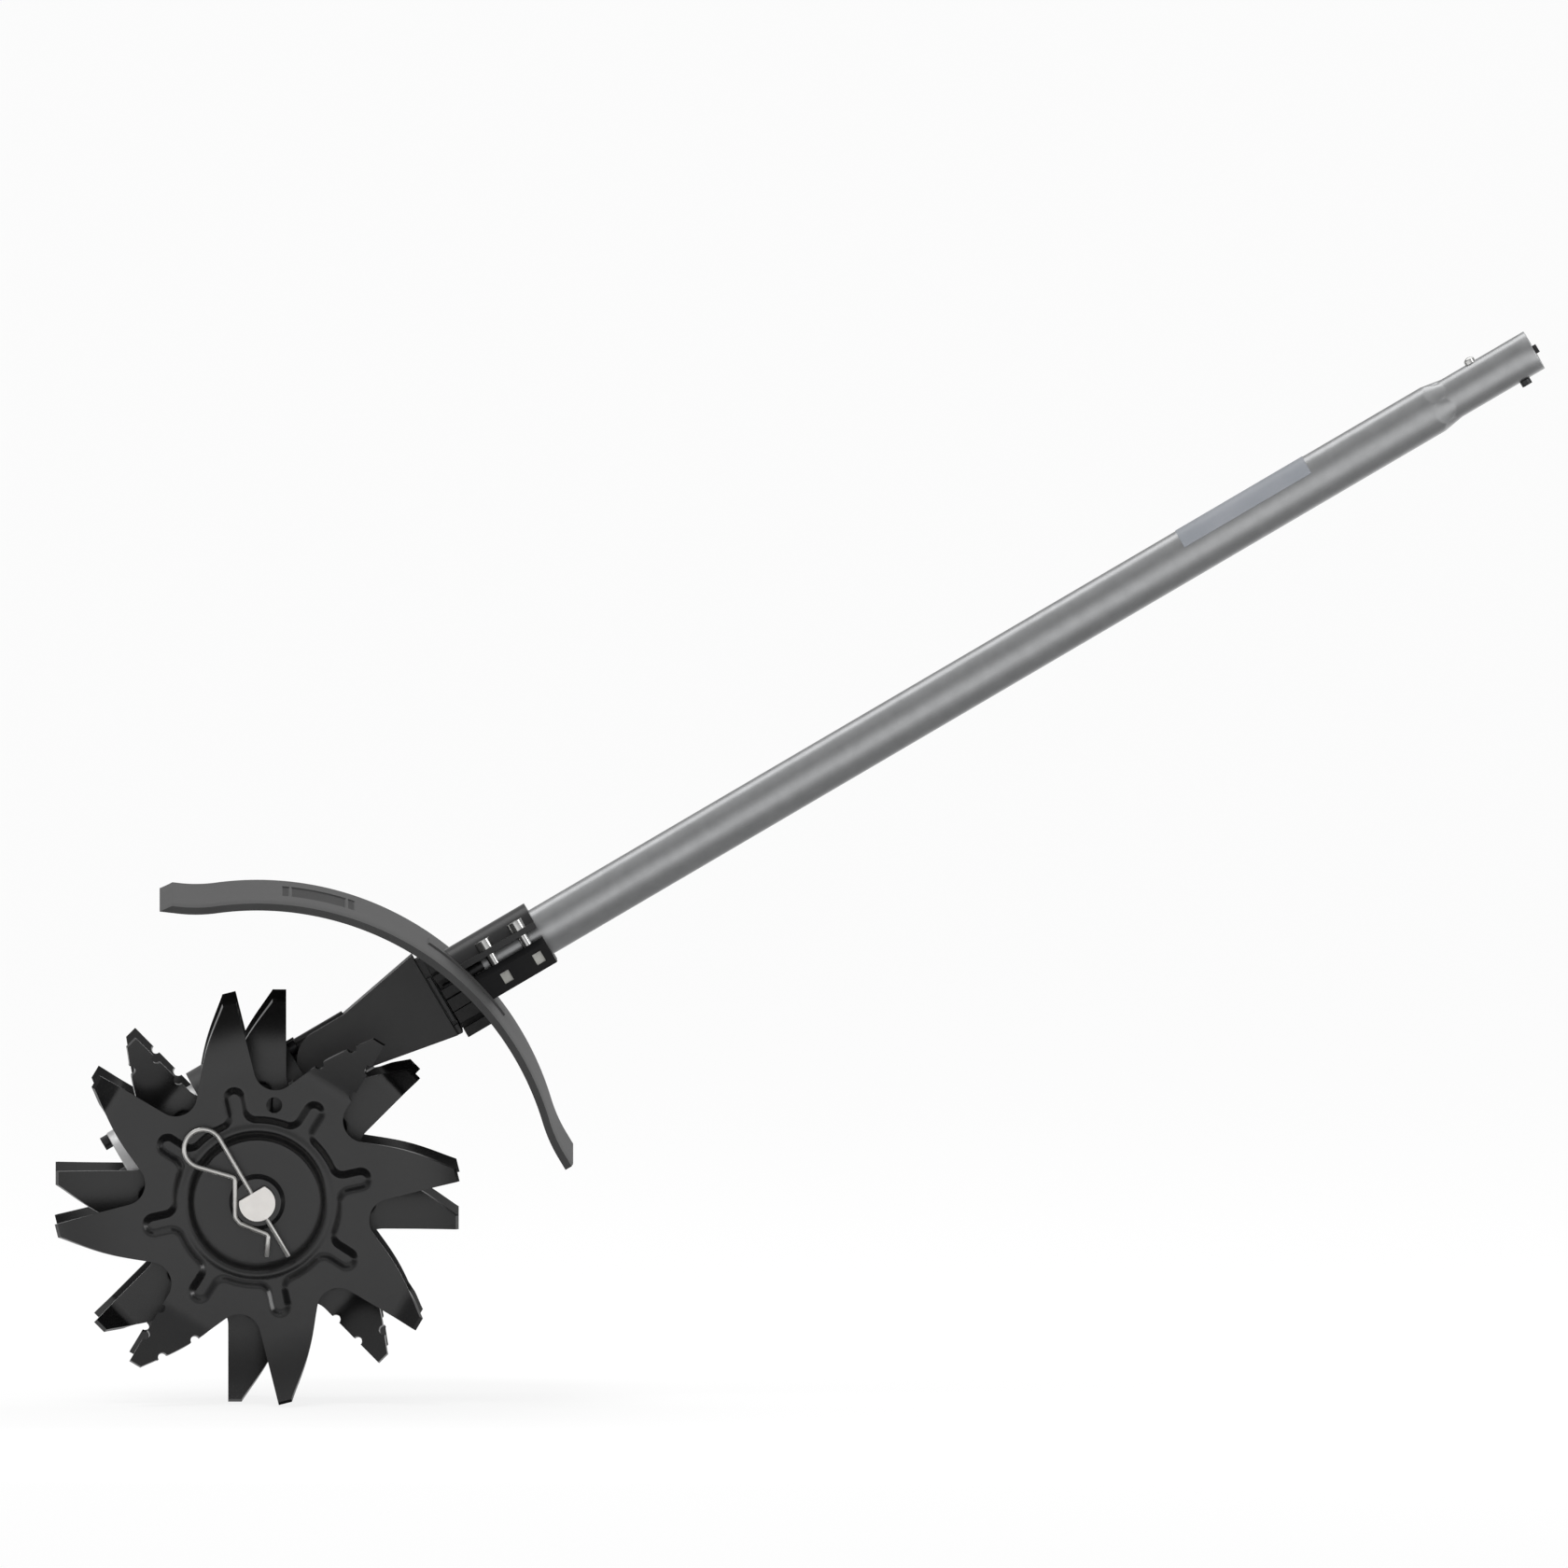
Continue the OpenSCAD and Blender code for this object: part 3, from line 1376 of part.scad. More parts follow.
// One ring of the wire, at a corner whose two runs have the given directions
function wire_ring(p, before, after) =
  let (
    along = (before + after) / norm(before + after),
    across = [-along[1], along[0]],
    stretch = 1 / (along * after)
  )
  [
    for (j = [0 : wire_sides - 1])
      let (q = polar(wire_r, 360 * j / wire_sides))
        [p[0] + across[0] * q[0] * stretch, q[1], p[1] + across[1] * q[0] * stretch]
  ];

function direction(a, b) = (b - a) / norm(b - a);

module hairpin() {
  route = hairpin_route();
  last = len(route) - 1;
  points = [
    for (i = [0 : last])
      each wire_ring(
        route[i],
        i == 0 ? direction(route[0], route[1]) : direction(route[i - 1], route[i]),
        i == last ? direction(route[last - 1], route[last]) : direction(route[i], route[i + 1])
      )
  ];
  sides = [
    for (i = [0 : last - 1], j = [0 : wire_sides - 1])
      let (a = wire_sides * i + j, b = wire_sides * i + (j + 1) % wire_sides)
        each [[a, b, a + wire_sides], [b, b + wire_sides, a + wire_sides]]
  ];
  foot = [for (j = [0 : wire_sides - 1]) wire_sides - 1 - j];
  tip = [for (j = [0 : wire_sides - 1]) wire_sides * last + j];
  color(bright_steel)
    translate([0, -hairpin_plane, 0])
      polyhedron(points, concat([foot], sides, [tip]));
}

module hairpin_near() { hairpin(); }
module hairpin_far() { mirror([0, 1, 0]) hairpin(); }

posture() shaft_tube();
posture() tube_end_bushing();
posture() bushing_screw();
posture() detent_spring();
posture() tube_bushings();
posture() tube_label();
posture() detent_button();
posture() drive_shaft();
posture() shaft_pin();
posture() worm();
posture() worm_bearings();
posture() drive_seal();
posture() gear_case_near();
posture() gear_case_far();
posture() case_screws();
posture() end_cap();
posture() end_cap_screws();
posture() neck_housing();
posture() neck_screws();
posture() stop_plate();
posture() guard();
posture() guard_screws();
posture() clamp_upper();
posture() clamp_lower();
posture() clamp_screws();
posture() clamp_nuts();
posture() axle_bushes();
posture() axle_seals();
posture() tine_axle();
posture() worm_wheel();
posture() wheel_key();
posture() thrust_washers();
posture() inner_hubs();
posture() outer_hubs();
posture() tine_outer_near();
posture() tine_inner_near();
posture() tine_inner_far();
posture() tine_outer_far();
posture() hairpin_near();
posture() hairpin_far();
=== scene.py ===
# Cultivator attachment for a power head, dressed over its CAD frame and set in a white studio.
import math

import bmesh
import bpy
from mathutils import Matrix, Vector
from mathutils.geometry import delaunay_2d_cdt
from mathutils.kdtree import KDTree


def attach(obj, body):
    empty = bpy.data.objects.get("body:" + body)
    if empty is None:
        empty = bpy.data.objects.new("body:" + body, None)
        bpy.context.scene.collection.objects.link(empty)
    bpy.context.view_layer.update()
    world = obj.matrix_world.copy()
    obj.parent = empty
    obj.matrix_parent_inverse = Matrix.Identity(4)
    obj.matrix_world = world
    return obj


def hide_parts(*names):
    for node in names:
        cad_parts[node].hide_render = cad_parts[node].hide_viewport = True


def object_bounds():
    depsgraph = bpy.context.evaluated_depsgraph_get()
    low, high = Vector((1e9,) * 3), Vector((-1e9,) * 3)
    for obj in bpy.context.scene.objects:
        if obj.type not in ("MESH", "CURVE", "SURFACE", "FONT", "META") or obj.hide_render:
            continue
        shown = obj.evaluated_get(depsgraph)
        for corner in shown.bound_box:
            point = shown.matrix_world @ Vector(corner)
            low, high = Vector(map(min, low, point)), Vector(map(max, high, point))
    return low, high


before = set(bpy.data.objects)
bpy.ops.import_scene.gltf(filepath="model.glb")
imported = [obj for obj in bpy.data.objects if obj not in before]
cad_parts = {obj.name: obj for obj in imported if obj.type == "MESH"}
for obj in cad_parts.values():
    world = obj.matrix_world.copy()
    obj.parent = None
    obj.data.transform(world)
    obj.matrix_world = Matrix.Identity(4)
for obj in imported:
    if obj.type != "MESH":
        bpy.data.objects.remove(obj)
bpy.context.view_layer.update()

# Tube
# The long tube is drawn aluminium, 25.4 mm across, left bare with a satin surface. Its upper end is swaged
# in a six-sided die, which leaves six shallow facets on the cone between the tube and the spigot.
WORK_ANGLE = math.radians(30.4)
TUBE_REACH = 775.2
TUBE_FOOT = 92.0
CENTRE_DISTANCE = 43.0
TUBE_RADIUS = 12.7
SPIGOT_RADIUS = 10.85
TUBE_WALL = 1.8
SWAGE_START = 716.6
SWAGE_END = 725.5
SWAGE_MIDDLE = 720.7
FACET_BEFORE = 5.3
FACET_AFTER = 6.2
RIDGE_RUN = 3.0
FACET_TURN = math.radians(40)
FACET_STEP = math.radians(60)
TUBE_SIDES = 144
TUBE_BORE = TUBE_RADIUS - TUBE_WALL
SPIGOT_BORE = SPIGOT_RADIUS - TUBE_WALL
FOOT_CHAMFER = 0.4
END_CHAMFER = 0.25
END_ROUNDING = 0.07
BORE_CHAMFER = 0.3

# The tool's own frame, in millimetres: X up the tube, Y along the axle and Z away from the ground
tool_to_row = (
    Matrix.Scale(0.001, 4)
    @ Matrix.Rotation(-WORK_ANGLE, 4, "Y")
    @ Matrix.Translation((-TUBE_REACH, 0, -CENTRE_DISTANCE))
)


def colour(code):
    """Linear colour of a web colour code."""
    parts = [int(code[i:i + 2], 16) / 255 for i in (0, 2, 4)]
    return (*[p / 12.92 if p < 0.04045 else ((p + 0.055) / 1.055) ** 2.4 for p in parts], 1.0)


def make_piece(name, points, faces, finish, body, slot, node, closed=True):
    """A smooth mesh from points in the tool's frame, which rides on a body in place of a CAD node."""
    mesh = bpy.data.meshes.new(name)
    mesh.from_pydata([tool_to_row @ Vector(p) for p in points], [], faces)
    if closed:
        shape = bmesh.new()
        shape.from_mesh(mesh)
        bmesh.ops.recalc_face_normals(shape, faces=shape.faces)
        shape.to_mesh(mesh)
        shape.free()
    mesh.polygons.foreach_set("use_smooth", [True] * len(mesh.polygons))
    mesh.materials.append(finish)
    piece = bpy.data.objects.new(name, mesh)
    bpy.context.scene.collection.objects.link(piece)
    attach(piece, body)
    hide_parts(node)
    return piece


def new_group(name, inputs, outputs):
    """An empty shader node group with named sockets: its tree, its input node and its output node."""
    group = bpy.data.node_groups.new(name, "ShaderNodeTree")
    for label, kind, value in inputs:
        socket = group.interface.new_socket(label, in_out="INPUT", socket_type=kind)
        socket.default_value = value
    for label, kind in outputs:
        group.interface.new_socket(label, in_out="OUTPUT", socket_type=kind)
    return group, group.nodes.new("NodeGroupInput"), group.nodes.new("NodeGroupOutput")


SURFACE_OUTPUTS = [
    ("Colour", "NodeSocketColor"), ("Roughness", "NodeSocketFloat"), ("Height", "NodeSocketFloat"),
]
SURFACE_INPUTS = [
    ("Colour", "NodeSocketColor", (0.5, 0.5, 0.5, 1)),
    ("Second colour", "NodeSocketColor", (0.5, 0.5, 0.5, 1)),
    ("Roughness", "NodeSocketFloat", 0.5),
    ("Roughness spread", "NodeSocketFloat", 0.1),
    ("Grain scale", "NodeSocketFloat", 900.0),
    ("Mottle scale", "NodeSocketFloat", 40.0),
]
MOTTLE_LOW = 0.3
MOTTLE_HIGH = 0.7
GRAIN_MEAN = 0.5


def add_math(tree, operation):
    """A math node for one operation."""
    node = tree.nodes.new("ShaderNodeMath")
    node.operation = operation
    return node


def add_fade(tree, source, start, end, low=0.0, high=1.0, interpolation="LINEAR"):
    """A value that runs from low to high while its source runs from start to end."""
    fade = tree.nodes.new("ShaderNodeMapRange")
    fade.interpolation_type = interpolation
    for label, value in (("From Min", start), ("From Max", end), ("To Min", low), ("To Max", high)):
        fade.inputs[label].default_value = value
    tree.links.new(source, fade.inputs["Value"])
    return fade.outputs["Result"]


def finish_surface(group, source, sink, grain, mottle):
    """Colour from the broad mottle, roughness and height from the fine grain."""
    mix = group.nodes.new("ShaderNodeMix")
    mix.data_type = "RGBA"
    spread = add_math(group, "MULTIPLY_ADD")
    centred = add_math(group, "SUBTRACT")
    centred.inputs[1].default_value = GRAIN_MEAN
    links = group.links
    links.new(add_fade(group, mottle, MOTTLE_LOW, MOTTLE_HIGH), mix.inputs["Factor"])
    links.new(source.outputs["Colour"], mix.inputs["A"])
    links.new(source.outputs["Second colour"], mix.inputs["B"])
    links.new(mix.outputs["Result"], sink.inputs["Colour"])
    links.new(grain, centred.inputs[0])
    links.new(centred.outputs[0], spread.inputs[0])
    links.new(source.outputs["Roughness spread"], spread.inputs[1])
    links.new(source.outputs["Roughness"], spread.inputs[2])
    links.new(spread.outputs[0], sink.inputs["Roughness"])
    links.new(grain, sink.inputs["Height"])


def add_noise(group, source, vector, scale, detail=3.0):
    """Noise whose scale is one of the group's inputs."""
    noise = group.nodes.new("ShaderNodeTexNoise")
    noise.inputs["Detail"].default_value = detail
    group.links.new(vector, noise.inputs["Vector"])
    group.links.new(source.outputs[scale], noise.inputs["Scale"])
    return noise.outputs["Fac"]


# Fine lines drawn along the tube, with a faint broad mottle
DRAWN_STRETCH = 0.02
drawn_metal, drawn_in, drawn_out = new_group("drawn_metal", SURFACE_INPUTS, SURFACE_OUTPUTS)
drawn_place = drawn_metal.nodes.new("ShaderNodeTexCoord")
drawn_turn = drawn_metal.nodes.new("ShaderNodeMapping")
drawn_turn.inputs["Rotation"].default_value = (0, WORK_ANGLE, 0)
drawn_stretch = drawn_metal.nodes.new("ShaderNodeMapping")
drawn_stretch.inputs["Scale"].default_value = (DRAWN_STRETCH, 1, 1)
drawn_metal.links.new(drawn_place.outputs["Object"], drawn_turn.inputs["Vector"])
drawn_metal.links.new(drawn_turn.outputs["Vector"], drawn_stretch.inputs["Vector"])
finish_surface(
    drawn_metal, drawn_in, drawn_out,
    add_noise(drawn_metal, drawn_in, drawn_stretch.outputs["Vector"], "Grain scale"),
    add_noise(drawn_metal, drawn_in, drawn_turn.outputs["Vector"], "Mottle scale", detail=6.0),
)


def make_finish(name, group, bump, bump_depth, metallic=0.0, specular=0.5, **values):
    """A Principled material whose colour, roughness and bump come from a surface group."""
    finish = bpy.data.materials.new(name)
    finish.use_nodes = True
    tree = finish.node_tree
    shader = tree.nodes["Principled BSDF"]
    shader.inputs["Metallic"].default_value = metallic
    shader.inputs["Specular IOR Level"].default_value = specular
    surface = tree.nodes.new("ShaderNodeGroup")
    surface.node_tree = group
    for label, value in values.items():
        surface.inputs[label.replace("_", " ").capitalize()].default_value = value
    relief = tree.nodes.new("ShaderNodeBump")
    relief.inputs["Strength"].default_value = bump
    relief.inputs["Distance"].default_value = bump_depth
    tree.links.new(surface.outputs["Colour"], shader.inputs["Base Color"])
    tree.links.new(surface.outputs["Roughness"], shader.inputs["Roughness"])
    tree.links.new(surface.outputs["Height"], relief.inputs["Height"])
    tree.links.new(relief.outputs["Normal"], shader.inputs["Normal"])
    return finish


tube_satin = make_finish(
    "tube_satin", drawn_metal, bump=0.12, bump_depth=0.00005, metallic=1.0,
    colour=colour("b0b1b2"), second_colour=colour("a7a8a9"), roughness=0.34, roughness_spread=0.14,
    grain_scale=1400.0, mottle_scale=160.0,
)


def tube_skin(x, turn):
    """Radius of the tube's outside at a distance along it and an angle from the near side."""
    off = (turn - FACET_TURN + FACET_STEP / 2) % FACET_STEP - FACET_STEP / 2
    ridge = (2 * off / FACET_STEP) ** 2
    start = SWAGE_MIDDLE - FACET_BEFORE + (FACET_BEFORE - RIDGE_RUN) * ridge
    end = SWAGE_MIDDLE + FACET_AFTER - (FACET_AFTER - RIDGE_RUN) * ridge
    run = min(1.0, max(0.0, (x - start) / (end - start)))
    return TUBE_RADIUS + (SPIGOT_RADIUS - TUBE_RADIUS) * run


def lathe(rings, sides, skin=None):
    """Points and faces of rings round the tube's axis; each ring is a distance and a radius, or a skin."""
    points = []
    for x, r in rings:
        for j in range(sides):
            turn = 2 * math.pi * j / sides
            radius = r if r is not None else skin(x, turn)
            points.append((x, -radius * math.cos(turn), CENTRE_DISTANCE + radius * math.sin(turn)))
    faces = []
    for i in range(len(rings)):
        n = (i + 1) % len(rings)
        for j in range(sides):
            m = (j + 1) % sides
            faces.append((i * sides + j, i * sides + m, n * sides + m, n * sides + j))
    return points, faces


# Rings from the foot along the outside to the open end, and back along the bore
PLAIN_RINGS = range(100, 712, 12)
SPIGOT_RINGS = range(736, 769, 8)
SWAGE_LEAD = 4.0
SWAGE_STEP = 0.5
SWAGE_RINGS = 34
tube_rings = [(TUBE_FOOT, TUBE_RADIUS - FOOT_CHAMFER), (TUBE_FOOT + FOOT_CHAMFER, TUBE_RADIUS)]
tube_rings += [(x, TUBE_RADIUS) for x in PLAIN_RINGS]
tube_rings += [(SWAGE_START - SWAGE_LEAD + SWAGE_STEP * i, None) for i in range(SWAGE_RINGS)]
tube_rings += [(x, SPIGOT_RADIUS) for x in (*SPIGOT_RINGS, TUBE_REACH - END_CHAMFER)]
tube_rings += [
    (TUBE_REACH - END_ROUNDING, SPIGOT_RADIUS - END_ROUNDING),
    (TUBE_REACH, SPIGOT_RADIUS - END_CHAMFER),
    (TUBE_REACH, SPIGOT_BORE + BORE_CHAMFER),
    (TUBE_REACH - BORE_CHAMFER, SPIGOT_BORE),
    (SWAGE_END, SPIGOT_BORE),
    (SWAGE_START, TUBE_BORE),
    (TUBE_FOOT, TUBE_BORE),
]
make_piece(
    "drawn_tube", *lathe(tube_rings, TUBE_SIDES, tube_skin), tube_satin, "housing", "tube_aluminium",
    "shaft_tube",
)

# Bushing in the tube's open end, with its key screw
# A black nylon bushing steadies the drive shaft where it leaves the tube. A black oxide screw from below
# holds it, and its head is the key that lines the spigot up with the coupler.
moulded_grain, moulded_in, moulded_out = new_group("moulded_grain", SURFACE_INPUTS, SURFACE_OUTPUTS)
moulded_place = moulded_grain.nodes.new("ShaderNodeTexCoord").outputs["Object"]
finish_surface(
    moulded_grain, moulded_in, moulded_out,
    add_noise(moulded_grain, moulded_in, moulded_place, "Grain scale"),
    add_noise(moulded_grain, moulded_in, moulded_place, "Mottle scale", detail=4.0),
)


def soften(piece, edge, segments, sharp, weight, slide=False):
    """Rounds a piece's sharp edges and evens out its shading."""
    bevel = piece.modifiers.new("soft_edges", "BEVEL")
    bevel.limit_method = "ANGLE"
    bevel.angle_limit = math.radians(sharp)
    bevel.width = edge
    bevel.segments = segments
    bevel.loop_slide = slide
    even = piece.modifiers.new("even_shading", "WEIGHTED_NORMAL")
    even.weight = weight


WELD_DISTANCE = 0.000002
FLAT_ANGLE = math.radians(0.4)


def dress(node, finish, edge=0.0002, segments=2, sharp=35):
    """Gives a CAD node its finish, soft edges and even shading."""
    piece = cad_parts[node]
    piece.data.materials.clear()
    piece.data.materials.append(finish)
    if "custom_normal" in piece.data.attributes:
        piece.data.attributes.remove(piece.data.attributes["custom_normal"])
    piece.data.polygons.foreach_set("use_smooth", [True] * len(piece.data.polygons))
    weld = piece.modifiers.new("weld", "WELD")
    weld.merge_threshold = WELD_DISTANCE
    whole = piece.modifiers.new("whole_faces", "DECIMATE")
    whole.decimate_type = "DISSOLVE"
    whole.angle_limit = FLAT_ANGLE
    soften(piece, edge, segments, sharp, weight=100)


nylon_black = make_finish(
    "nylon_black", moulded_grain, bump=0.15, bump_depth=0.00008,
    colour=colour("262627"), second_colour=colour("202021"), roughness=0.5, roughness_spread=0.15,
    grain_scale=2200.0, mottle_scale=90.0,
)
black_oxide = make_finish(
    "black_oxide", moulded_grain, bump=0.1, bump_depth=0.00004, metallic=0.6,
    colour=colour("3a3a3b"), second_colour=colour("2c2c2e"), roughness=0.38, roughness_spread=0.2,
    grain_scale=2600.0, mottle_scale=300.0,
)
dress("tube_end_bushing", nylon_black)
dress("bushing_screw", black_oxide, edge=0.00025)

# Spring button
# A polished, zinc-plated button with a domed end stands out of the spigot and snaps into the coupler's
# hole. A spring steel leaf inside the tube presses it up.
polished_zinc = make_finish(
    "polished_zinc", moulded_grain, bump=0.04, bump_depth=0.00003, metallic=1.0,
    colour=colour("d4d4d2"), second_colour=colour("c4c4c3"), roughness=0.2, roughness_spread=0.1,
    grain_scale=1800.0, mottle_scale=240.0,
)
dress("detent_button", polished_zinc, edge=0.0001, sharp=50)
dress("detent_spring", polished_zinc, edge=0.0001)

# Bushings along the tube and the label
# Black nylon bushings sit inside the tube and steady the shaft. The label is a satin blue-grey film glued
# over the tube's upper side, left blank.
label_film = make_finish(
    "label_film", moulded_grain, bump=0.05, bump_depth=0.00003,
    colour=colour("8d9096"), second_colour=colour("868a90"), roughness=0.42, roughness_spread=0.08,
    grain_scale=1500.0, mottle_scale=60.0,
)
dress("tube_bushings", nylon_black)
dress("tube_label", label_film, edge=0.00005)

# Drive shaft, its pin and the worm
# The shaft is a black oxide steel rod with a square end for the power head. A pin locks it to the ground
# steel worm, which turns in two ball bearings behind a rubber seal.
ground_steel = make_finish(
    "ground_steel", moulded_grain, bump=0.08, bump_depth=0.00004, metallic=1.0,
    colour=colour("c9c9c7"), second_colour=colour("bdbdbc"), roughness=0.3, roughness_spread=0.14,
    grain_scale=2400.0, mottle_scale=200.0,
)
seal_rubber = make_finish(
    "seal_rubber", moulded_grain, bump=0.2, bump_depth=0.0001,
    colour=colour("1d1d1e"), second_colour=colour("171718"), roughness=0.7, roughness_spread=0.1,
    grain_scale=1600.0, mottle_scale=120.0,
)
dress("drive_shaft", black_oxide)
dress("shaft_pin", ground_steel, edge=0.0001)
dress("worm", ground_steel, edge=0.0001)
dress("worm_bearings", ground_steel)
dress("drive_seal", seal_rubber)

# Gear case and end cap
# Two aluminium castings, parted along the middle and bolted together, hold the worm and its wheel. The
# machined cap closes the front end with four black screws.
cast_aluminium = make_finish(
    "cast_aluminium", moulded_grain, bump=0.35, bump_depth=0.00012, metallic=1.0,
    colour=colour("dadada"), second_colour=colour("cdcdce"), roughness=0.42, roughness_spread=0.2,
    grain_scale=1300.0, mottle_scale=150.0,
)
for node in ("gear_case_near", "gear_case_far", "end_cap"):
    dress(node, cast_aluminium, edge=0.0006, segments=3)
dress("case_screws", black_oxide)
dress("end_cap_screws", black_oxide, edge=0.0003)

# Neck
# A black powder-coated casting: a hood over the worm tunnel, a barrel and two flat side plates that flare
# towards the guard. Four screws hold its flange to the gear case.
powder_black = make_finish(
    "powder_black", moulded_grain, bump=0.25, bump_depth=0.0001,
    colour=colour("343434"), second_colour=colour("303031"), roughness=0.4, roughness_spread=0.12,
    grain_scale=1500.0, mottle_scale=70.0,
)
dress("neck_housing", powder_black, edge=0.0009, segments=3)
dress("neck_screws", black_oxide)

# Stop plate
# A black moulded plate on a narrower block, pushed over the tube. The block fills the room between the
# neck's flare and the boss under the guard.
moulded_black = make_finish(
    "moulded_black", moulded_grain, bump=0.25, bump_depth=0.0001,
    colour=colour("323233"), second_colour=colour("2d2d2e"), roughness=0.4, roughness_spread=0.12,
    grain_scale=1800.0, mottle_scale=80.0,
)
dress("stop_plate", moulded_black, edge=0.0004)

# Guard
# An arched moulding of dark grey plastic with a fine spark-eroded grain. It flares at both edges, has a
# bare recessed panel on top and a ribbed boss underneath, and two screws draw it to the clamp.
guard_plastic = make_finish(
    "guard_plastic", moulded_grain, bump=0.3, bump_depth=0.00012, specular=0.22,
    colour=colour("393939"), second_colour=colour("353535"), roughness=0.52, roughness_spread=0.12,
    grain_scale=1200.0, mottle_scale=50.0,
)
panel_matt = make_finish(
    "panel_matt", moulded_grain, bump=0.5, bump_depth=0.0002, specular=0.25,
    colour=colour("1f1f1f"), second_colour=colour("1a1a1a"), roughness=0.62, roughness_spread=0.1,
    grain_scale=900.0, mottle_scale=60.0,
)
GUARD_RADIUS = 151.0
GUARD_THICKNESS = 4.6
GUARD_HALF_WIDTH = 145.0
GUARD_REAR = math.radians(-17.4)
GUARD_FRONT = math.radians(71.1)
REAR_LIP = 16.9
FRONT_LIP = 19.4
LIP_ANGLE = math.radians(18)
LIP_BEND = 62.0
BEND_LENGTH = LIP_BEND * math.tan(LIP_ANGLE / 2)
BEND_STEPS = 24
LIP_STEPS = 8
ARC_STEP = 3.0
WIDTH_STEP = 5.0
GUARD_OUTER = GUARD_RADIUS + GUARD_THICKNESS
GUARD_CROWN = 1.0
CROWN_REACH = 26.0
PANEL_MIDDLE = math.radians(48) * GUARD_OUTER
PANEL_HALF_LENGTH = 14.0
PANEL_HALF_WIDTH = 60.0
PANEL_RISE = -0.8
STRIP_OFFSET = 17.0
STRIP_HALF_LENGTH = 1.7
PAD_MIDDLE = math.asin(CENTRE_DISTANCE / GUARD_OUTER) * GUARD_OUTER
PAD_HALF_LENGTH = 26.6
PAD_HALF_WIDTH = 30.0
PAD_RISE = 1.2
# A place along the arc that is clear of every relief, for the lips
LIP_PLACE = -GUARD_OUTER
# Reliefs of the outer face: middle and half length along the arc, half width, and height
GUARD_RELIEFS = (
    (PANEL_MIDDLE, PANEL_HALF_LENGTH, PANEL_HALF_WIDTH, PANEL_RISE),
    (PANEL_MIDDLE - STRIP_OFFSET, STRIP_HALF_LENGTH, PANEL_HALF_WIDTH, PANEL_RISE),
    (PANEL_MIDDLE + STRIP_OFFSET, STRIP_HALF_LENGTH, PANEL_HALF_WIDTH, PANEL_RISE),
    (PAD_MIDDLE, PAD_HALF_LENGTH, PAD_HALF_WIDTH, PAD_RISE),
)


def lip_line(corner, side, length):
    """Inner points and outward directions of a smooth bend into a flared lip, and of the lip."""
    angle = corner - side * BEND_LENGTH / GUARD_RADIUS
    point = Vector((GUARD_RADIUS * math.cos(angle), GUARD_RADIUS * math.sin(angle)))
    heading = angle + side * math.pi / 2
    rate = side * (BEND_LENGTH / GUARD_RADIUS - LIP_ANGLE) / (2 * BEND_LENGTH)
    bend = (2 * BEND_LENGTH / BEND_STEPS, rate, BEND_STEPS)
    lip = ((length - BEND_LENGTH) / LIP_STEPS, 0.0, LIP_STEPS)
    line = []
    for stride, curve, count in (bend, lip):
        for _ in range(count):
            heading += curve * stride / 2
            point = point + stride * Vector((math.cos(heading), math.sin(heading)))
            heading += curve * stride / 2
            out = heading - side * math.pi / 2
            line.append((point.copy(), Vector((math.cos(out), math.sin(out)))))
    return line


def stations(low, high, step, marks, pair=0.2):
    """Places between two ends, with a close pair at each mark for a steep wall."""
    count = round((high - low) / step)
    places = [low + (high - low) * i / count for i in range(count + 1)]
    places = [p for p in places if all(abs(p - m) > 2 * pair for m in marks)]
    return sorted(places + [m + s * pair for m in marks for s in (-1, 1)])


def guard_relief(place, y):
    """Height of the guard's outer face over its plain arch."""
    height = -GUARD_CROWN * max(0.0, (abs(y) - GUARD_HALF_WIDTH + CROWN_REACH) / CROWN_REACH) ** 2
    for middle, half_length, half_width, rise in GUARD_RELIEFS:
        if abs(place - middle) < half_length and abs(y) < half_width:
            height += rise
    return height


arc_marks = [m + s * h for m, h, _, _ in GUARD_RELIEFS for s in (-1, 1)]
bend_turn = BEND_LENGTH / GUARD_RADIUS
arc_places = stations(
    (GUARD_REAR + bend_turn) * GUARD_OUTER, (GUARD_FRONT - bend_turn) * GUARD_OUTER, ARC_STEP, arc_marks,
)
guard_line = [(p, n, LIP_PLACE) for p, n in reversed(lip_line(GUARD_REAR, -1, REAR_LIP))]
for place in arc_places:
    out = Vector((math.cos(place / GUARD_OUTER), math.sin(place / GUARD_OUTER)))
    guard_line.append((out * GUARD_RADIUS, out, place))
guard_line += [(p, n, LIP_PLACE) for p, n in lip_line(GUARD_FRONT, 1, FRONT_LIP)]
guard_widths = stations(
    -GUARD_HALF_WIDTH, GUARD_HALF_WIDTH, WIDTH_STEP,
    (-PANEL_HALF_WIDTH, -PAD_HALF_WIDTH, PAD_HALF_WIDTH, PANEL_HALF_WIDTH),
)
guard_points = []
for i, (point, out, place) in enumerate(guard_line):
    # Both end faces lie along the tube, so the outer face of a lip falls short of the inner one or runs
    # past it
    past_bend = max(0, LIP_STEPS - i, i + 1 + LIP_STEPS - len(guard_line)) / LIP_STEPS
    slip = Vector((-out.y, out.x)) * (-GUARD_THICKNESS * out.y / out.x * past_bend)
    for y in guard_widths:
        outer = point + out * (GUARD_THICKNESS + guard_relief(place, y)) + slip
        guard_points += [(point.x, y, point.y), (outer.x, y, outer.y)]
rows = len(guard_widths)
guard_faces = []
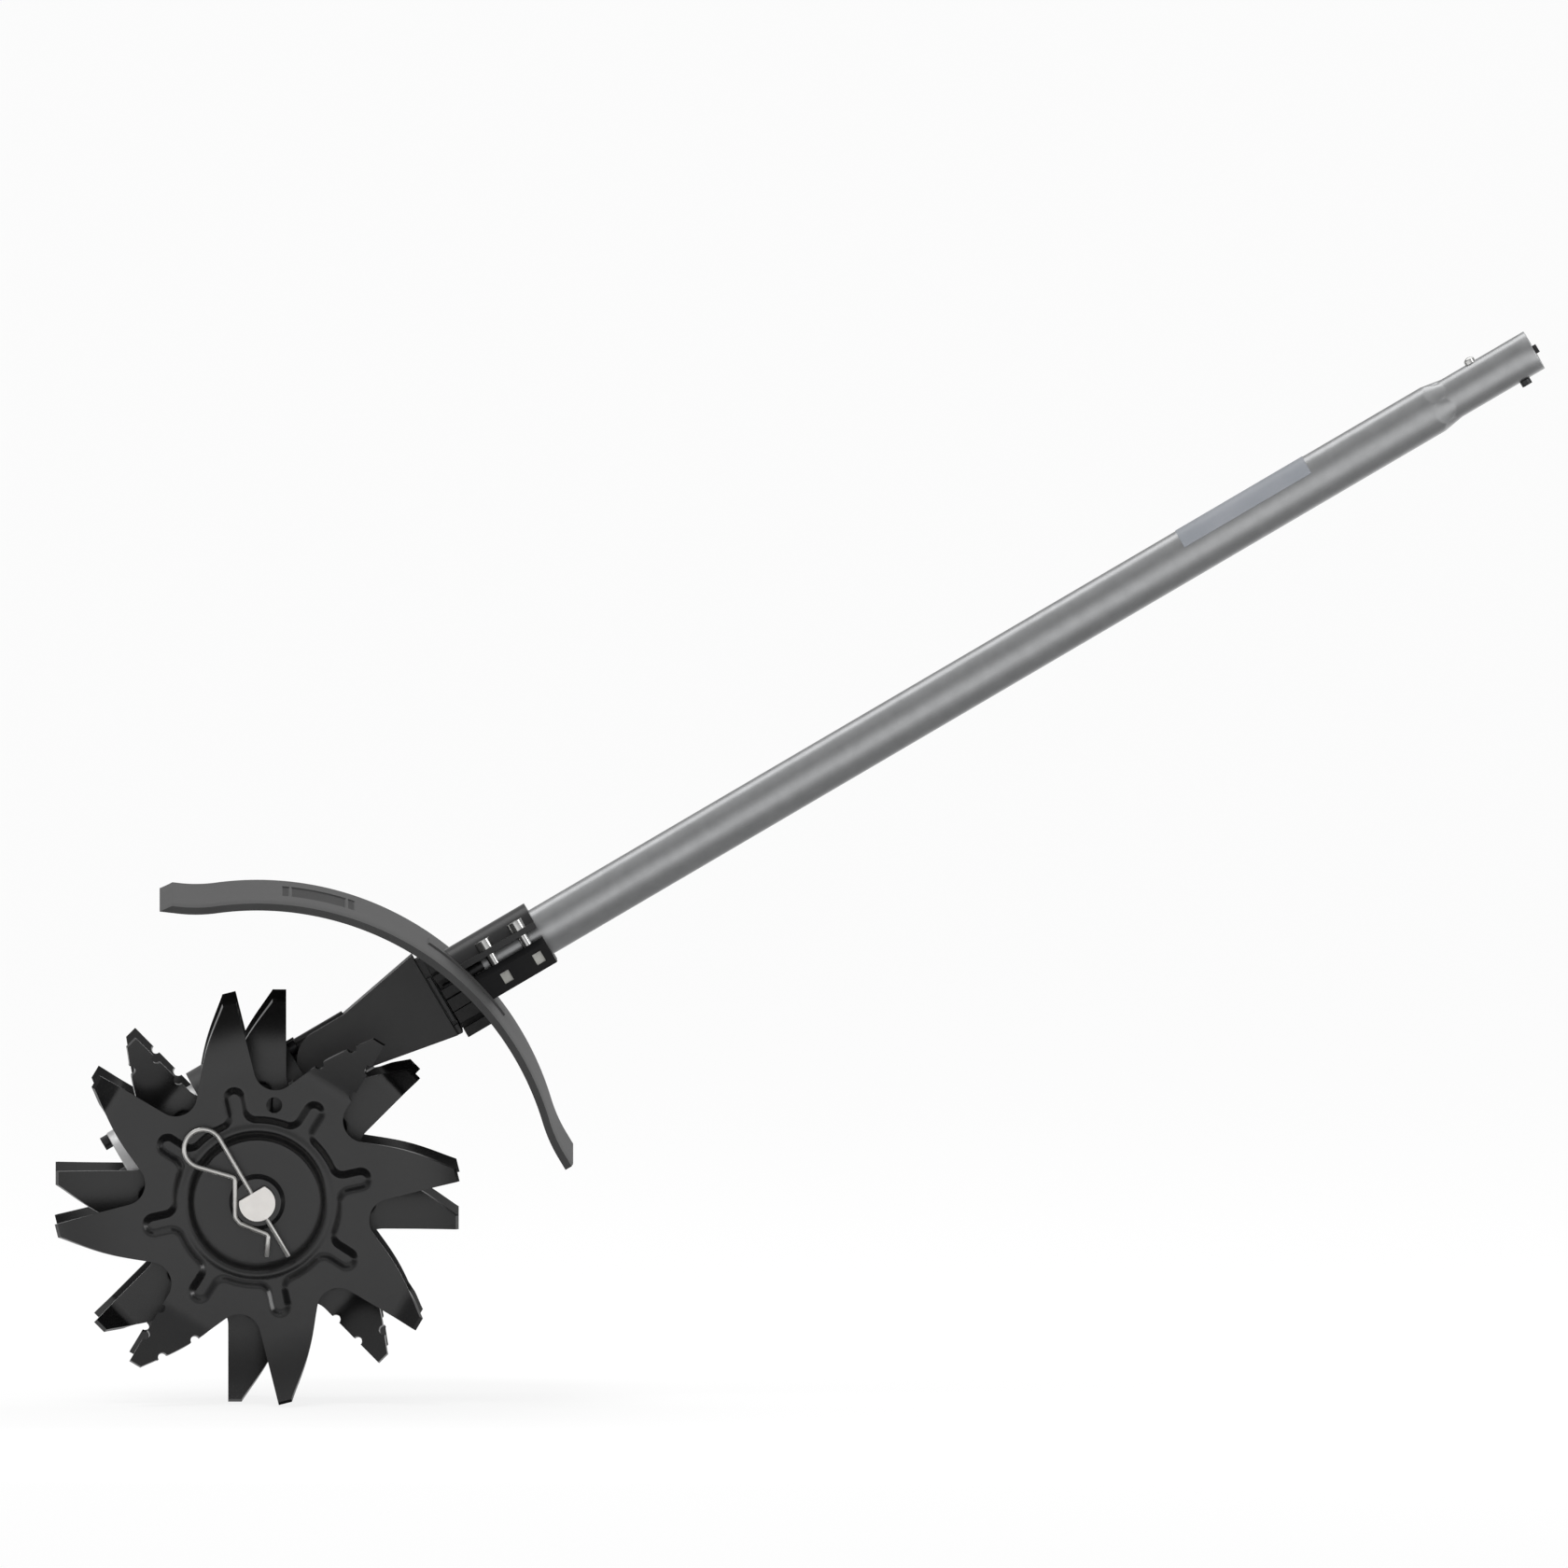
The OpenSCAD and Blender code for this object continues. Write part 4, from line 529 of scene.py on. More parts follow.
for i in range(len(guard_line) - 1):
    for j in range(rows - 1):
        a, b = 2 * (i * rows + j), 2 * ((i + 1) * rows + j)
        guard_faces += [(a, a + 2, b + 2, b), (a + 1, b + 1, b + 3, a + 3)]
    for j in (0, rows - 1):
        a, b = 2 * (i * rows + j), 2 * ((i + 1) * rows + j)
        guard_faces.append((a, b, b + 1, a + 1) if j == 0 else (a, a + 1, b + 1, b))
for i in (0, len(guard_line) - 1):
    for j in range(rows - 1):
        a = 2 * (i * rows + j)
        guard_faces.append((a, a + 1, a + 3, a + 2) if i == 0 else (a, a + 2, a + 3, a + 1))

# The boss under the arch: four walls round the tube, and ribs along both sides
BOSS_FRONT = 133.7
BOSS_HALF_WIDTH = 24.0
BOSS_WEB = 15.7
BOSS_TOP = 19.0
BOSS_FOOT = -26.6
BOSS_RIBS = (
    (BOSS_FOOT, -21.5), (-18.5, -12.0), (-11.6, -5.0), (-4.2, 0.85), (5.35, 9.0), (10.5, BOSS_TOP),
)
TUBE_ROOM = 12.8
BLOCK_FACES = ((0, 1, 3, 2), (4, 6, 7, 5), (0, 4, 5, 1), (2, 3, 7, 6), (0, 2, 6, 4), (1, 5, 7, 3))
boss_blocks = [
    (-BOSS_WEB, BOSS_WEB, TUBE_ROOM, BOSS_TOP), (-BOSS_WEB, BOSS_WEB, BOSS_FOOT, -TUBE_ROOM),
    (-BOSS_WEB, -TUBE_ROOM, -TUBE_ROOM, TUBE_ROOM), (TUBE_ROOM, BOSS_WEB, -TUBE_ROOM, TUBE_ROOM),
]
for low, high in BOSS_RIBS:
    boss_blocks += [(-BOSS_HALF_WIDTH, -BOSS_WEB, low, high), (BOSS_WEB, BOSS_HALF_WIDTH, low, high)]
for y0, y1, low, high in boss_blocks:
    first = len(guard_points)
    for y in (y0, y1):
        for z in (CENTRE_DISTANCE + low, CENTRE_DISTANCE + high):
            reach = math.sqrt((GUARD_RADIUS + GUARD_THICKNESS / 2) ** 2 - z ** 2)
            guard_points += [(BOSS_FRONT, y, z), (reach, y, z)]
    guard_faces += [tuple(first + k for k in f) for f in BLOCK_FACES]
guard_arch = make_piece(
    "guard_arch", guard_points, guard_faces, guard_plastic, "housing", "guard_plastic", "guard",
)

# The floors of the sunk panel and its two strips have a matt finish of their own
FLOOR_MARGIN = 0.01
guard_arch.data.materials.append(panel_matt)
for face in guard_arch.data.polygons:
    corners = [guard_points[i] for i in face.vertices]
    out = [math.hypot(x, z) for x, _, z in corners]
    sunk = all(abs(r - GUARD_OUTER - PANEL_RISE) < FLOOR_MARGIN for r in out)
    if sunk and all(abs(y) < PANEL_HALF_WIDTH for _, y, _ in corners):
        face.material_index = 1
soften(guard_arch, edge=0.0006, segments=3, sharp=40, weight=60)
dress("guard_screws", black_oxide)

# Clamp
# Two black mouldings grip the tube above the guard. The lower one has a darker, duller copy of the upper's
# glossy finish, as painted shade on its front face. Plated socket screws pass the upper ears and thread
# into square nuts, which show through windows in the lower block.
clamp_black = make_finish(
    "clamp_black", moulded_grain, bump=0.15, bump_depth=0.00008,
    colour=colour("1a1a1b"), second_colour=colour("171718"), roughness=0.3, roughness_spread=0.1,
    grain_scale=1800.0, mottle_scale=70.0,
)
# Painted shade: a darker, duller copy of clamp_black that stands in for the shade on the lower block's
# front face
clamp_painted_shade = make_finish(
    "clamp_painted_shade", moulded_grain, bump=0.2, bump_depth=0.0001, specular=0.2,
    colour=colour("161617"), second_colour=colour("131314"), roughness=0.45, roughness_spread=0.1,
    grain_scale=1600.0, mottle_scale=70.0,
)
plated_nut = make_finish(
    "plated_nut", moulded_grain, bump=0.12, bump_depth=0.00006, metallic=0.7,
    colour=colour("c9c9c4"), second_colour=colour("bcbcb6"), roughness=0.42, roughness_spread=0.2,
    grain_scale=2200.0, mottle_scale=260.0,
)
dress("clamp_upper", clamp_black, edge=0.0009, segments=3)
dress("clamp_lower", clamp_painted_shade, edge=0.0009, segments=3)
dress("clamp_screws", polished_zinc, edge=0.0003)
dress("clamp_nuts", plated_nut, edge=0.0003)

# Axle and worm wheel
# The bright steel axle has a flat along each end, so that the hubs turn with it. Inside the case it
# carries the bronze worm wheel on a key, and runs in bronze bushes behind rubber seals.
gear_bronze = make_finish(
    "gear_bronze", moulded_grain, bump=0.1, bump_depth=0.00005, metallic=1.0,
    colour=colour("b98f52"), second_colour=colour("ab8248"), roughness=0.36, roughness_spread=0.16,
    grain_scale=2000.0, mottle_scale=180.0,
)
axle_steel = make_finish(
    "axle_steel", moulded_grain, bump=0.06, bump_depth=0.00004, metallic=0.8,
    colour=colour("f2efeb"), second_colour=colour("eae7e3"), roughness=0.34, roughness_spread=0.1,
    grain_scale=2400.0, mottle_scale=160.0,
)
dress("tine_axle", axle_steel, edge=0.0004)
dress("worm_wheel", gear_bronze, edge=0.0001)
dress("wheel_key", ground_steel, edge=0.0001)
dress("axle_bushes", gear_bronze)
dress("axle_seals", seal_rubber)

# Hubs
# Short black-coated tubes with a D-shaped bore slide over the axle. Each has a collar, welded to its disc
# with a smooth glossy bead. Steel thrust washers keep the inner ones off the gear case.
hub_gloss = make_finish(
    "hub_gloss", moulded_grain, bump=0.1, bump_depth=0.00006, specular=0.65,
    colour=colour("1a1a1b"), second_colour=colour("161617"), roughness=0.2, roughness_spread=0.1,
    grain_scale=1700.0, mottle_scale=120.0,
)
dress("thrust_washers", ground_steel)
dress("inner_hubs", hub_gloss, edge=0.0004)
dress("outer_hubs", hub_gloss, edge=0.0004)

# Tine discs
# Four discs stamped from 3 mm steel plate and powder-coated black. Pressing sinks a dish and eight ribs
# into the middle, and bends the teeth outward: some in a smooth curve, some at a crease with notched
# edges, and some only at their tips.
TINE_THICKNESS = 3.1
TOOTH_COUNT = 8
TOOTH_PITCH = math.radians(45)
TIP_RADIUS = 103.2
TIP_WIDTH = 6.0
EDGE_OFFSET = 14.7
EDGE_START = 64
EDGE_STEPS = 26
TIP_STEPS = 4
TOOTH_TAPER = math.radians(30)
TAPER_STEPS = 30
TAPER_BULGE = 2.1
BULGE_POWER = 1.2
VALLEY_RADIUS = 11.0
VALLEY_STEPS = 16
TIP_THROW = 10.0
CURVE_START = 63.8
NOTCH_CREASE = 68.0
HOOK_CREASE = 90.0
CREASE_SOFTNESS = 2.2
NOTCH_RADIUS = 2.4
NOTCH_STEPS = 8
NOTCH_MARGIN = 0.4
NOTCHES_STRAIGHT = (3.0, 18.4)
NOTCHES_TAPER = (23.5, 8.5)
STEP_RADIUS = 43.6
STEP_DEPTH = 2.35
CREST_RISE = 0.4
CREST_RADIUS = 37.0
CREST_FOOT = 40.0
DISH_RADIUS = 36.8
FLOOR_RADIUS = 30.6
DISH_DEPTH = 5.1
RIB_WIDTH = 11.8
RIB_END = 59.6
RIB_TURN = math.radians(-1.8)
ROOT_RADIUS = 4.0
PRESS_RIM = 0.5
PRESS_WALL = 4.7
WALL_ROWS = 10
HUB_HOLE = 12.25
SMALL_HOLE = 4.0
SMALL_HOLE_OUT = 50.0
SMALL_HOLE_TURN = math.radians(65.7)
TIP_X = math.sqrt(TIP_RADIUS ** 2 - EDGE_OFFSET ** 2)
TIP_TOP = TIP_WIDTH - EDGE_OFFSET
TOOTH_KINDS = ("curved", "notched", "curved", "hooked")


def turned(point, angle):
    """A flat point, turned about the middle."""
    c, s = math.cos(angle), math.sin(angle)
    return point[0] * c - point[1] * s, point[0] * s + point[1] * c


def eased(value):
    """A smooth step from 0 to 1."""
    value = min(1.0, max(0.0, value))
    return value * value * (3 - 2 * value)


def taper_line(x):
    """The tapered edge's height over a tooth's middle line, before it swells."""
    return TIP_TOP + (TIP_X - x) * math.tan(TOOTH_TAPER)


bend_radius = ((TIP_X - CURVE_START) ** 2 + TIP_THROW ** 2) / (2 * TIP_THROW)
taper_reach = TIP_X * math.sin(TOOTH_TAPER) + TIP_TOP * math.cos(TOOTH_TAPER) + VALLEY_RADIUS
edge_reach = EDGE_OFFSET + VALLEY_RADIUS
valley_spread = math.sin(TOOTH_TAPER + TOOTH_PITCH)
valley_centre = (
    (taper_reach * math.cos(TOOTH_PITCH) + edge_reach * math.cos(TOOTH_TAPER)) / valley_spread,
    (taper_reach * math.sin(TOOTH_PITCH) - edge_reach * math.sin(TOOTH_TAPER)) / valley_spread,
)


def arc(centre, radius, start, end, steps):
    """Points of an arc, with both ends."""
    return [
        (centre[0] + radius * math.cos(start + (end - start) * i / steps),
         centre[1] + radius * math.sin(start + (end - start) * i / steps))
        for i in range(steps + 1)
    ]


def bend_angle(kind):
    """Slope of a tooth at its tip."""
    if kind == "curved":
        return math.asin((TIP_X - CURVE_START) / bend_radius)
    return math.atan(TIP_THROW / (TIP_X - (NOTCH_CREASE if kind == "notched" else HOOK_CREASE)))


def tooth_outline(kind):
    """One tooth and the valley after it: straight edge, tip, swelling tapered edge and valley."""
    tip_x = TIP_X - TINE_THICKNESS * math.sin(bend_angle(kind))
    straight = [
        (EDGE_START + (tip_x - EDGE_START) * i / EDGE_STEPS, -EDGE_OFFSET) for i in range(EDGE_STEPS)
    ]
    taper_foot = valley_centre[0] - VALLEY_RADIUS * math.sin(TOOTH_TAPER)
    taper = []
    for i in range(TAPER_STEPS + 1):
        run = i / TAPER_STEPS
        x = tip_x + (taper_foot - tip_x) * run
        swell = TAPER_BULGE * math.sin(math.pi * run) ** BULGE_POWER
        taper.append((x + swell * math.sin(TOOTH_TAPER), taper_line(x) + swell * math.cos(TOOTH_TAPER)))
    if kind == "notched":
        for along in NOTCHES_STRAIGHT:
            centre = (NOTCH_CREASE + along, -EDGE_OFFSET)
            cut = arc(centre, NOTCH_RADIUS, math.pi, 0, NOTCH_STEPS)
            straight = (
                [p for p in straight if p[0] < cut[0][0] - NOTCH_MARGIN] + cut
                + [p for p in straight if p[0] > cut[-1][0] + NOTCH_MARGIN]
            )
        for along in NOTCHES_TAPER:
            middle = min(taper, key=lambda p: abs(p[0] - NOTCH_CREASE - along))
            cut = arc(middle, NOTCH_RADIUS, -TOOTH_TAPER, -TOOTH_TAPER - math.pi, NOTCH_STEPS)
            taper = (
                [p for p in taper if p[0] > cut[0][0] + NOTCH_MARGIN] + cut
                + [p for p in taper if p[0] < cut[-1][0] - NOTCH_MARGIN]
            )
    tip_width = taper_line(tip_x) + EDGE_OFFSET
    tip = [(tip_x, -EDGE_OFFSET + tip_width * i / TIP_STEPS) for i in range(TIP_STEPS)]
    valley_start = 1.5 * math.pi - TOOTH_TAPER
    valley_end = 0.5 * math.pi + TOOTH_PITCH
    valley = arc(valley_centre, VALLEY_RADIUS, valley_start, valley_end, VALLEY_STEPS)
    return straight + tip + taper + valley[1:]


def tooth_rise(kind, x):
    """How far a bent tooth stands out of the plate at a distance along it."""
    if kind == "curved":
        run = max(0.0, x - CURVE_START)
        radius = bend_radius - TINE_THICKNESS
        return radius - math.sqrt(radius ** 2 - run ** 2)
    crease = NOTCH_CREASE if kind == "notched" else HOOK_CREASE
    run = x - crease
    slope = TIP_THROW / (TIP_X - crease)
    if run <= -CREASE_SOFTNESS:
        return 0.0
    if run >= CREASE_SOFTNESS:
        return run * slope
    return slope * (run + CREASE_SOFTNESS) ** 2 / (4 * CREASE_SOFTNESS)


RIB_CENTRE = RIB_END - RIB_WIDTH / 2
ROOT_Y = RIB_WIDTH / 2 + ROOT_RADIUS
ROOT_X = math.sqrt((STEP_RADIUS + ROOT_RADIUS) ** 2 - ROOT_Y ** 2)
ROOT_ANGLE = math.atan2(ROOT_Y, ROOT_X)
RIB_SIDE_STEP = 0.9
RIB_END_STEPS = 20
ROOT_STEPS = 8
RING_STEPS = 18


def press_outside(x, y):
    """How far a point lies outside the pressed ring and its ribs, which meet it in rounded roots."""
    angle = math.atan2(y, x) - RIB_TURN
    sector = round(angle / TOOTH_PITCH)
    along, across = turned((x, y), -sector * TOOTH_PITCH - RIB_TURN)
    across = abs(across)
    if along < ROOT_X and across < along * math.tan(ROOT_ANGLE):
        return ROOT_RADIUS - math.hypot(along - ROOT_X, across - ROOT_Y)
    reach = math.hypot(max(0.0, along - RIB_CENTRE), across) - RIB_WIDTH / 2
    return min(math.hypot(x, y) - STEP_RADIUS, reach)


def pressed_depth(x, y):
    """How far pressing has sunk a point of the disc's middle: a soft wall, a low crest and the dish."""
    radius = math.hypot(x, y)
    wall = eased((PRESS_RIM - press_outside(x, y)) / PRESS_WALL)
    crest = eased((CREST_FOOT - radius) / (CREST_FOOT - CREST_RADIUS))
    sink = eased((DISH_RADIUS - radius) / (DISH_RADIUS - FLOOR_RADIUS))
    return STEP_DEPTH * wall - CREST_RISE * crest + (DISH_DEPTH - STEP_DEPTH + CREST_RISE) * sink


def press_row(offset):
    """Points along the outline of the pressed ring and its ribs, at a distance outside it."""
    half = RIB_WIDTH / 2 + offset
    side_count = round((RIB_CENTRE - ROOT_X) / RIB_SIDE_STEP)
    side = [(ROOT_X + (RIB_CENTRE - ROOT_X) * i / side_count, half) for i in range(side_count)]
    end = arc((RIB_CENTRE, 0), half, math.pi / 2, -math.pi / 2, RIB_END_STEPS)
    root_start = math.pi + ROOT_ANGLE
    root = arc((ROOT_X, ROOT_Y), ROOT_RADIUS - offset, root_start, 1.5 * math.pi, ROOT_STEPS)[:-1]
    ring_end = TOOTH_PITCH - ROOT_ANGLE
    ring = arc((0, 0), STEP_RADIUS + offset, ROOT_ANGLE, ring_end, RING_STEPS)[1:-1]
    one = ring + root + side + end + [(x, -y) for x, y in side + root]
    return [turned(p, k * TOOTH_PITCH + RIB_TURN) for k in range(TOOTH_COUNT) for p in one]


TOOTH_FOOT = 62
TOOTH_LEAN = math.radians(2)


def disc_height(x, y):
    """Height of the disc's outer face over its flat plate."""
    if math.hypot(x, y) < TOOTH_FOOT:
        return -pressed_depth(x, y)
    angle = math.atan2(y, x)
    sector = round((angle - TOOTH_LEAN) / TOOTH_PITCH)
    along = turned((x, y), -sector * TOOTH_PITCH)[0]
    return tooth_rise(TOOTH_KINDS[sector % len(TOOTH_KINDS)], along)


HUB_SIDES = 96
HOLE_SIDES = 32
COARSE_STEP = 2.2
FINE_STEP = 0.5
FINE_ALONG = 1.5
FINE_BEFORE = 1.0
FINE_AFTER = 0.5
FIRST_RING = 1.0
EDGE_ROOM = 0.8
WALL_ROOM = 0.5
HOLE_MARGIN = 0.05
MERGE_DISTANCE = 1e-6


def spread_points():
    """Points in rings over the disc, closer together on the crest and the dish's wall."""
    spread = []
    radius = HUB_HOLE + FIRST_RING
    while radius < TIP_RADIUS:
        fine = FLOOR_RADIUS - FINE_BEFORE < radius < CREST_FOOT + FINE_AFTER
        step = FINE_STEP if fine else COARSE_STEP
        along = FINE_ALONG if fine else COARSE_STEP
        count = round(2 * math.pi * radius / along / TOOTH_COUNT) * TOOTH_COUNT
        stagger = 0.5 * (round(radius / step) % 2)
        for j in range(count):
            angle = 2 * math.pi * (j + stagger) / count
            spread.append((radius * math.cos(angle), radius * math.sin(angle)))
        radius += step
    return spread


def disc_sheet():
    """Points and faces of the disc's outer face, seen square on."""
    outline = []
    for k in range(TOOTH_COUNT):
        kind = TOOTH_KINDS[k % len(TOOTH_KINDS)]
        outline += [turned(p, k * TOOTH_PITCH) for p in tooth_outline(kind)]
    hub = arc((0, 0), HUB_HOLE, 0, 2 * math.pi, HUB_SIDES)[:-1]
    hole_centre = turned((SMALL_HOLE_OUT, 0), SMALL_HOLE_TURN)
    hole = arc(hole_centre, SMALL_HOLE, 0, 2 * math.pi, HOLE_SIDES)[:-1]
    fixed = []
    edges = []
    for loop in (outline, hub, hole):
        first = len(fixed)
        fixed += loop
        edges += [(first + i, first + (i + 1) % len(loop)) for i in range(len(loop))]
    near = KDTree(len(fixed))
    for i, p in enumerate(fixed):
        near.insert((*p, 0), i)
    near.balance()
    wall_foot = PRESS_RIM - PRESS_WALL - WALL_ROOM
    wall_top = PRESS_RIM + WALL_ROOM
    off_wall = [p for p in spread_points() if not wall_foot < press_outside(*p) < wall_top]
    inside = [p for p in off_wall if near.find((*p, 0))[2] > EDGE_ROOM]
    for i in range(WALL_ROWS + 1):
        inside += press_row(PRESS_RIM - PRESS_WALL * i / WALL_ROWS)
    points, _, faces, _, _, _ = delaunay_2d_cdt(
        [Vector(p) for p in fixed + inside], edges, [], 1, MERGE_DISTANCE,
    )

    def kept(face):
        x = sum(points[i][0] for i in face) / len(face)
        y = sum(points[i][1] for i in face) / len(face)
        off_hole = math.hypot(x - hole_centre[0], y - hole_centre[1]) > SMALL_HOLE - HOLE_MARGIN
        return off_hole and math.hypot(x, y) > HUB_HOLE - HOLE_MARGIN

    return [(p[0], p[1], disc_height(p[0], p[1])) for p in points], [f for f in faces if kept(f)]


tine_powder = make_finish(
    "tine_powder", moulded_grain, bump=0.18, bump_depth=0.0001, specular=0.62,
    colour=colour("151515"), second_colour=colour("121213"), roughness=0.23, roughness_spread=0.08,
    grain_scale=1500.0, mottle_scale=60.0,
)
OUTER_PLANE = 68.3
INNER_PLANE = 36.4
FIRST_TURN = math.radians(-16.1)
SECOND_TURN = math.radians(59.6)
sheet_points, sheet_faces = disc_sheet()
for disc, node, plane, turn, side in (
    ("stamped_outer_near", "tine_outer_near", OUTER_PLANE, FIRST_TURN, -1),
    ("stamped_inner_near", "tine_inner_near", INNER_PLANE, SECOND_TURN, -1),
    ("stamped_inner_far", "tine_inner_far", INNER_PLANE, FIRST_TURN, 1),
    ("stamped_outer_far", "tine_outer_far", OUTER_PLANE, SECOND_TURN, 1),
):
    placed = []
    for x, y, h in sheet_points:
        u, v = turned((x, y), turn)
        placed.append((u, side * (plane + h), v))
    facing = sheet_faces if side < 0 else [tuple(reversed(f)) for f in sheet_faces]
    piece = make_piece(disc, placed, facing, tine_powder, "rotor", "tine_coating", node, closed=False)
    plate = piece.modifiers.new("plate", "SOLIDIFY")
    plate.thickness = TINE_THICKNESS / 1000
    plate.offset = -1
    soften(piece, edge=0.00035, segments=2, sharp=55, weight=50, slide=True)

# Hairpins
# A bright spring wire is bent into a finger loop, with one straight leg through the axle's cross hole and
# one waved leg that grips the axle from outside. It keeps the hubs on the axle.
WIRE_RADIUS = 1.2
WIRE_SIDES = 16
WIRE_TIP = 0.35
LOOP_RADIUS = 9.7
LOOP_HEIGHT = 37.5
LOOP_TURN = math.radians(223.7)
LOOP_STEPS = 40
LEG_DROP = 31.6
HAIRPIN_PLANE = 77.0
SPRUNG_LEG = [(-3.3, 16.6), (-13.4, -0.9), (-12.8, -4.7), (-3.3, -16.9), (-9.7, -26.1)]
BEND_RADIUS = 2.6
BEND_SHARE = 0.45
BEND_STEP = math.radians(9)


def rounded(route, radius):
    """A route with its sharp corners bent to a radius, where the runs leave room for it."""
    smooth = [route[0]]
    for before, corner, after in zip(route, route[1:], route[2:]):
        a = (before - corner).normalized()
        b = (after - corner).normalized()
        turn = math.pi - a.angle(b)
        room = BEND_SHARE * min((before - corner).length, (after - corner).length)
        back = min(radius * math.tan(turn / 2), room)
        steps = max(1, round(turn / BEND_STEP))
        for i in range(steps + 1):
            s = i / steps
            leaving = (corner + a * back) * (1 - s) ** 2
            coming = (corner + b * back) * s * s
            smooth.append(leaving + corner * 2 * s * (1 - s) + coming)
    return smooth + [route[-1]]


loop_points = arc((-LOOP_RADIUS, LOOP_HEIGHT), LOOP_RADIUS, 0, LOOP_TURN, LOOP_STEPS)
wire_route = [Vector((0, -LEG_DROP)), Vector((0, 0))] + [Vector(p) for p in loop_points]
sprung_route = rounded([wire_route[-1]] + [Vector(p) for p in SPRUNG_LEG], BEND_RADIUS)
wire_route += sprung_route[1:]
spring_wire = make_finish(
    "spring_wire", moulded_grain, bump=0.05, bump_depth=0.00004, metallic=0.8,
    colour=colour("dddcd9"), second_colour=colour("d2d1ce"), roughness=0.32, roughness_spread=0.12,
    grain_scale=2000.0, mottle_scale=180.0,
)
wire_rings = []
for i, p in enumerate(wire_route):
    ahead = (wire_route[min(i + 1, len(wire_route) - 1)] - wire_route[max(i - 1, 0)]).normalized()
    wire_rings.append((p, Vector((-ahead.y, ahead.x)), WIRE_RADIUS))

# Both cut ends of the wire are broken with a small chamfer
start, start_across, _ = wire_rings[0]
end, end_across, _ = wire_rings[-1]
into_end = (wire_route[-2] - wire_route[-1]).normalized() * WIRE_TIP
wire_rings[0] = (start, start_across, WIRE_RADIUS - WIRE_TIP)
wire_rings[-1] = (end, end_across, WIRE_RADIUS - WIRE_TIP)
wire_rings.insert(1, (start + Vector((0, WIRE_TIP)), start_across, WIRE_RADIUS))
wire_rings.insert(-1, (end + into_end, end_across, WIRE_RADIUS))
for hairpin, node, side in (("wire_near", "hairpin_near", -1), ("wire_far", "hairpin_far", 1)):
    points = []
    for centre, across, radius in wire_rings:
        for j in range(WIRE_SIDES):
            a = 2 * math.pi * j / WIRE_SIDES
            flat = centre + across * radius * math.cos(a)
            points.append((flat.x, side * (HAIRPIN_PLANE + radius * math.sin(a)), flat.y))
    faces = []
    for i in range(len(wire_rings) - 1):
        for j in range(WIRE_SIDES):
            m = (j + 1) % WIRE_SIDES
            faces.append((
                i * WIRE_SIDES + j, i * WIRE_SIDES + m,
                (i + 1) * WIRE_SIDES + m, (i + 1) * WIRE_SIDES + j,
            ))
    faces.append(tuple(range(WIRE_SIDES)))
    faces.append(tuple(len(points) - 1 - j for j in range(WIRE_SIDES)))
    make_piece(hairpin, points, faces, spring_wire, "rotor", "spring_wire", node)

# Studio
# A white floor that runs past the frame and keeps the tool's soft shadow, a graded card under the tool
# that keeps its undersides dark, a soft world, and lamps: a broad key in front, a softbox above and
# behind, and a strip on the right.
low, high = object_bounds()
middle = (Vector(low) + Vector(high)) / 2
FLOOR_GAP = 0.001
FLOOR_Z = low[2] - FLOOR_GAP
FLOOR_REACH = 60.0
FLOOR_GLOW = 0.82
FLOOR_COLOUR = (0.9, 0.9, 0.9, 1)
FLOOR_ROUGHNESS = 0.9


def add_stage(name, reach, height):
    """A level square of the stage, under the middle of the tool."""
    corners = ((-1, -1), (1, -1), (1, 1), (-1, 1))
    points = [(middle.x + a * reach, middle.y + b * reach, height) for a, b in corners]
    mesh = bpy.data.meshes.new(name)
    mesh.from_pydata(points, [], [(0, 1, 2, 3)])
    stage = bpy.data.objects.new(name, mesh)
    bpy.context.scene.collection.objects.link(stage)
    return stage


floor_white = bpy.data.materials.new("floor_white")
floor_white.use_nodes = True
floor_tree = floor_white.node_tree
floor_shader = floor_tree.nodes["Principled BSDF"]
floor_shader.inputs["Base Color"].default_value = FLOOR_COLOUR
floor_shader.inputs["Roughness"].default_value = FLOOR_ROUGHNESS
floor_glow = floor_tree.nodes.new("ShaderNodeEmission")
floor_path = floor_tree.nodes.new("ShaderNodeLightPath")
floor_seen = add_math(floor_tree, "MAXIMUM")
floor_any = add_math(floor_tree, "MAXIMUM")
floor_share = add_math(floor_tree, "MULTIPLY")
floor_share.inputs[1].default_value = FLOOR_GLOW
floor_mix = floor_tree.nodes.new("ShaderNodeMixShader")
floor_tree.links.new(floor_path.outputs["Is Camera Ray"], floor_seen.inputs[0])
floor_tree.links.new(floor_path.outputs["Is Glossy Ray"], floor_seen.inputs[1])
floor_tree.links.new(floor_seen.outputs[0], floor_any.inputs[0])
floor_tree.links.new(floor_path.outputs["Is Transmission Ray"], floor_any.inputs[1])
floor_tree.links.new(floor_any.outputs[0], floor_share.inputs[0])
floor_tree.links.new(floor_share.outputs[0], floor_mix.inputs["Fac"])
floor_tree.links.new(floor_shader.outputs["BSDF"], floor_mix.inputs[1])
floor_tree.links.new(floor_glow.outputs["Emission"], floor_mix.inputs[2])
floor_tree.links.new(floor_mix.outputs["Shader"], floor_tree.nodes["Material Output"].inputs["Surface"])
floor = add_stage("floor", FLOOR_REACH, FLOOR_Z)
floor.data.materials.append(floor_white)

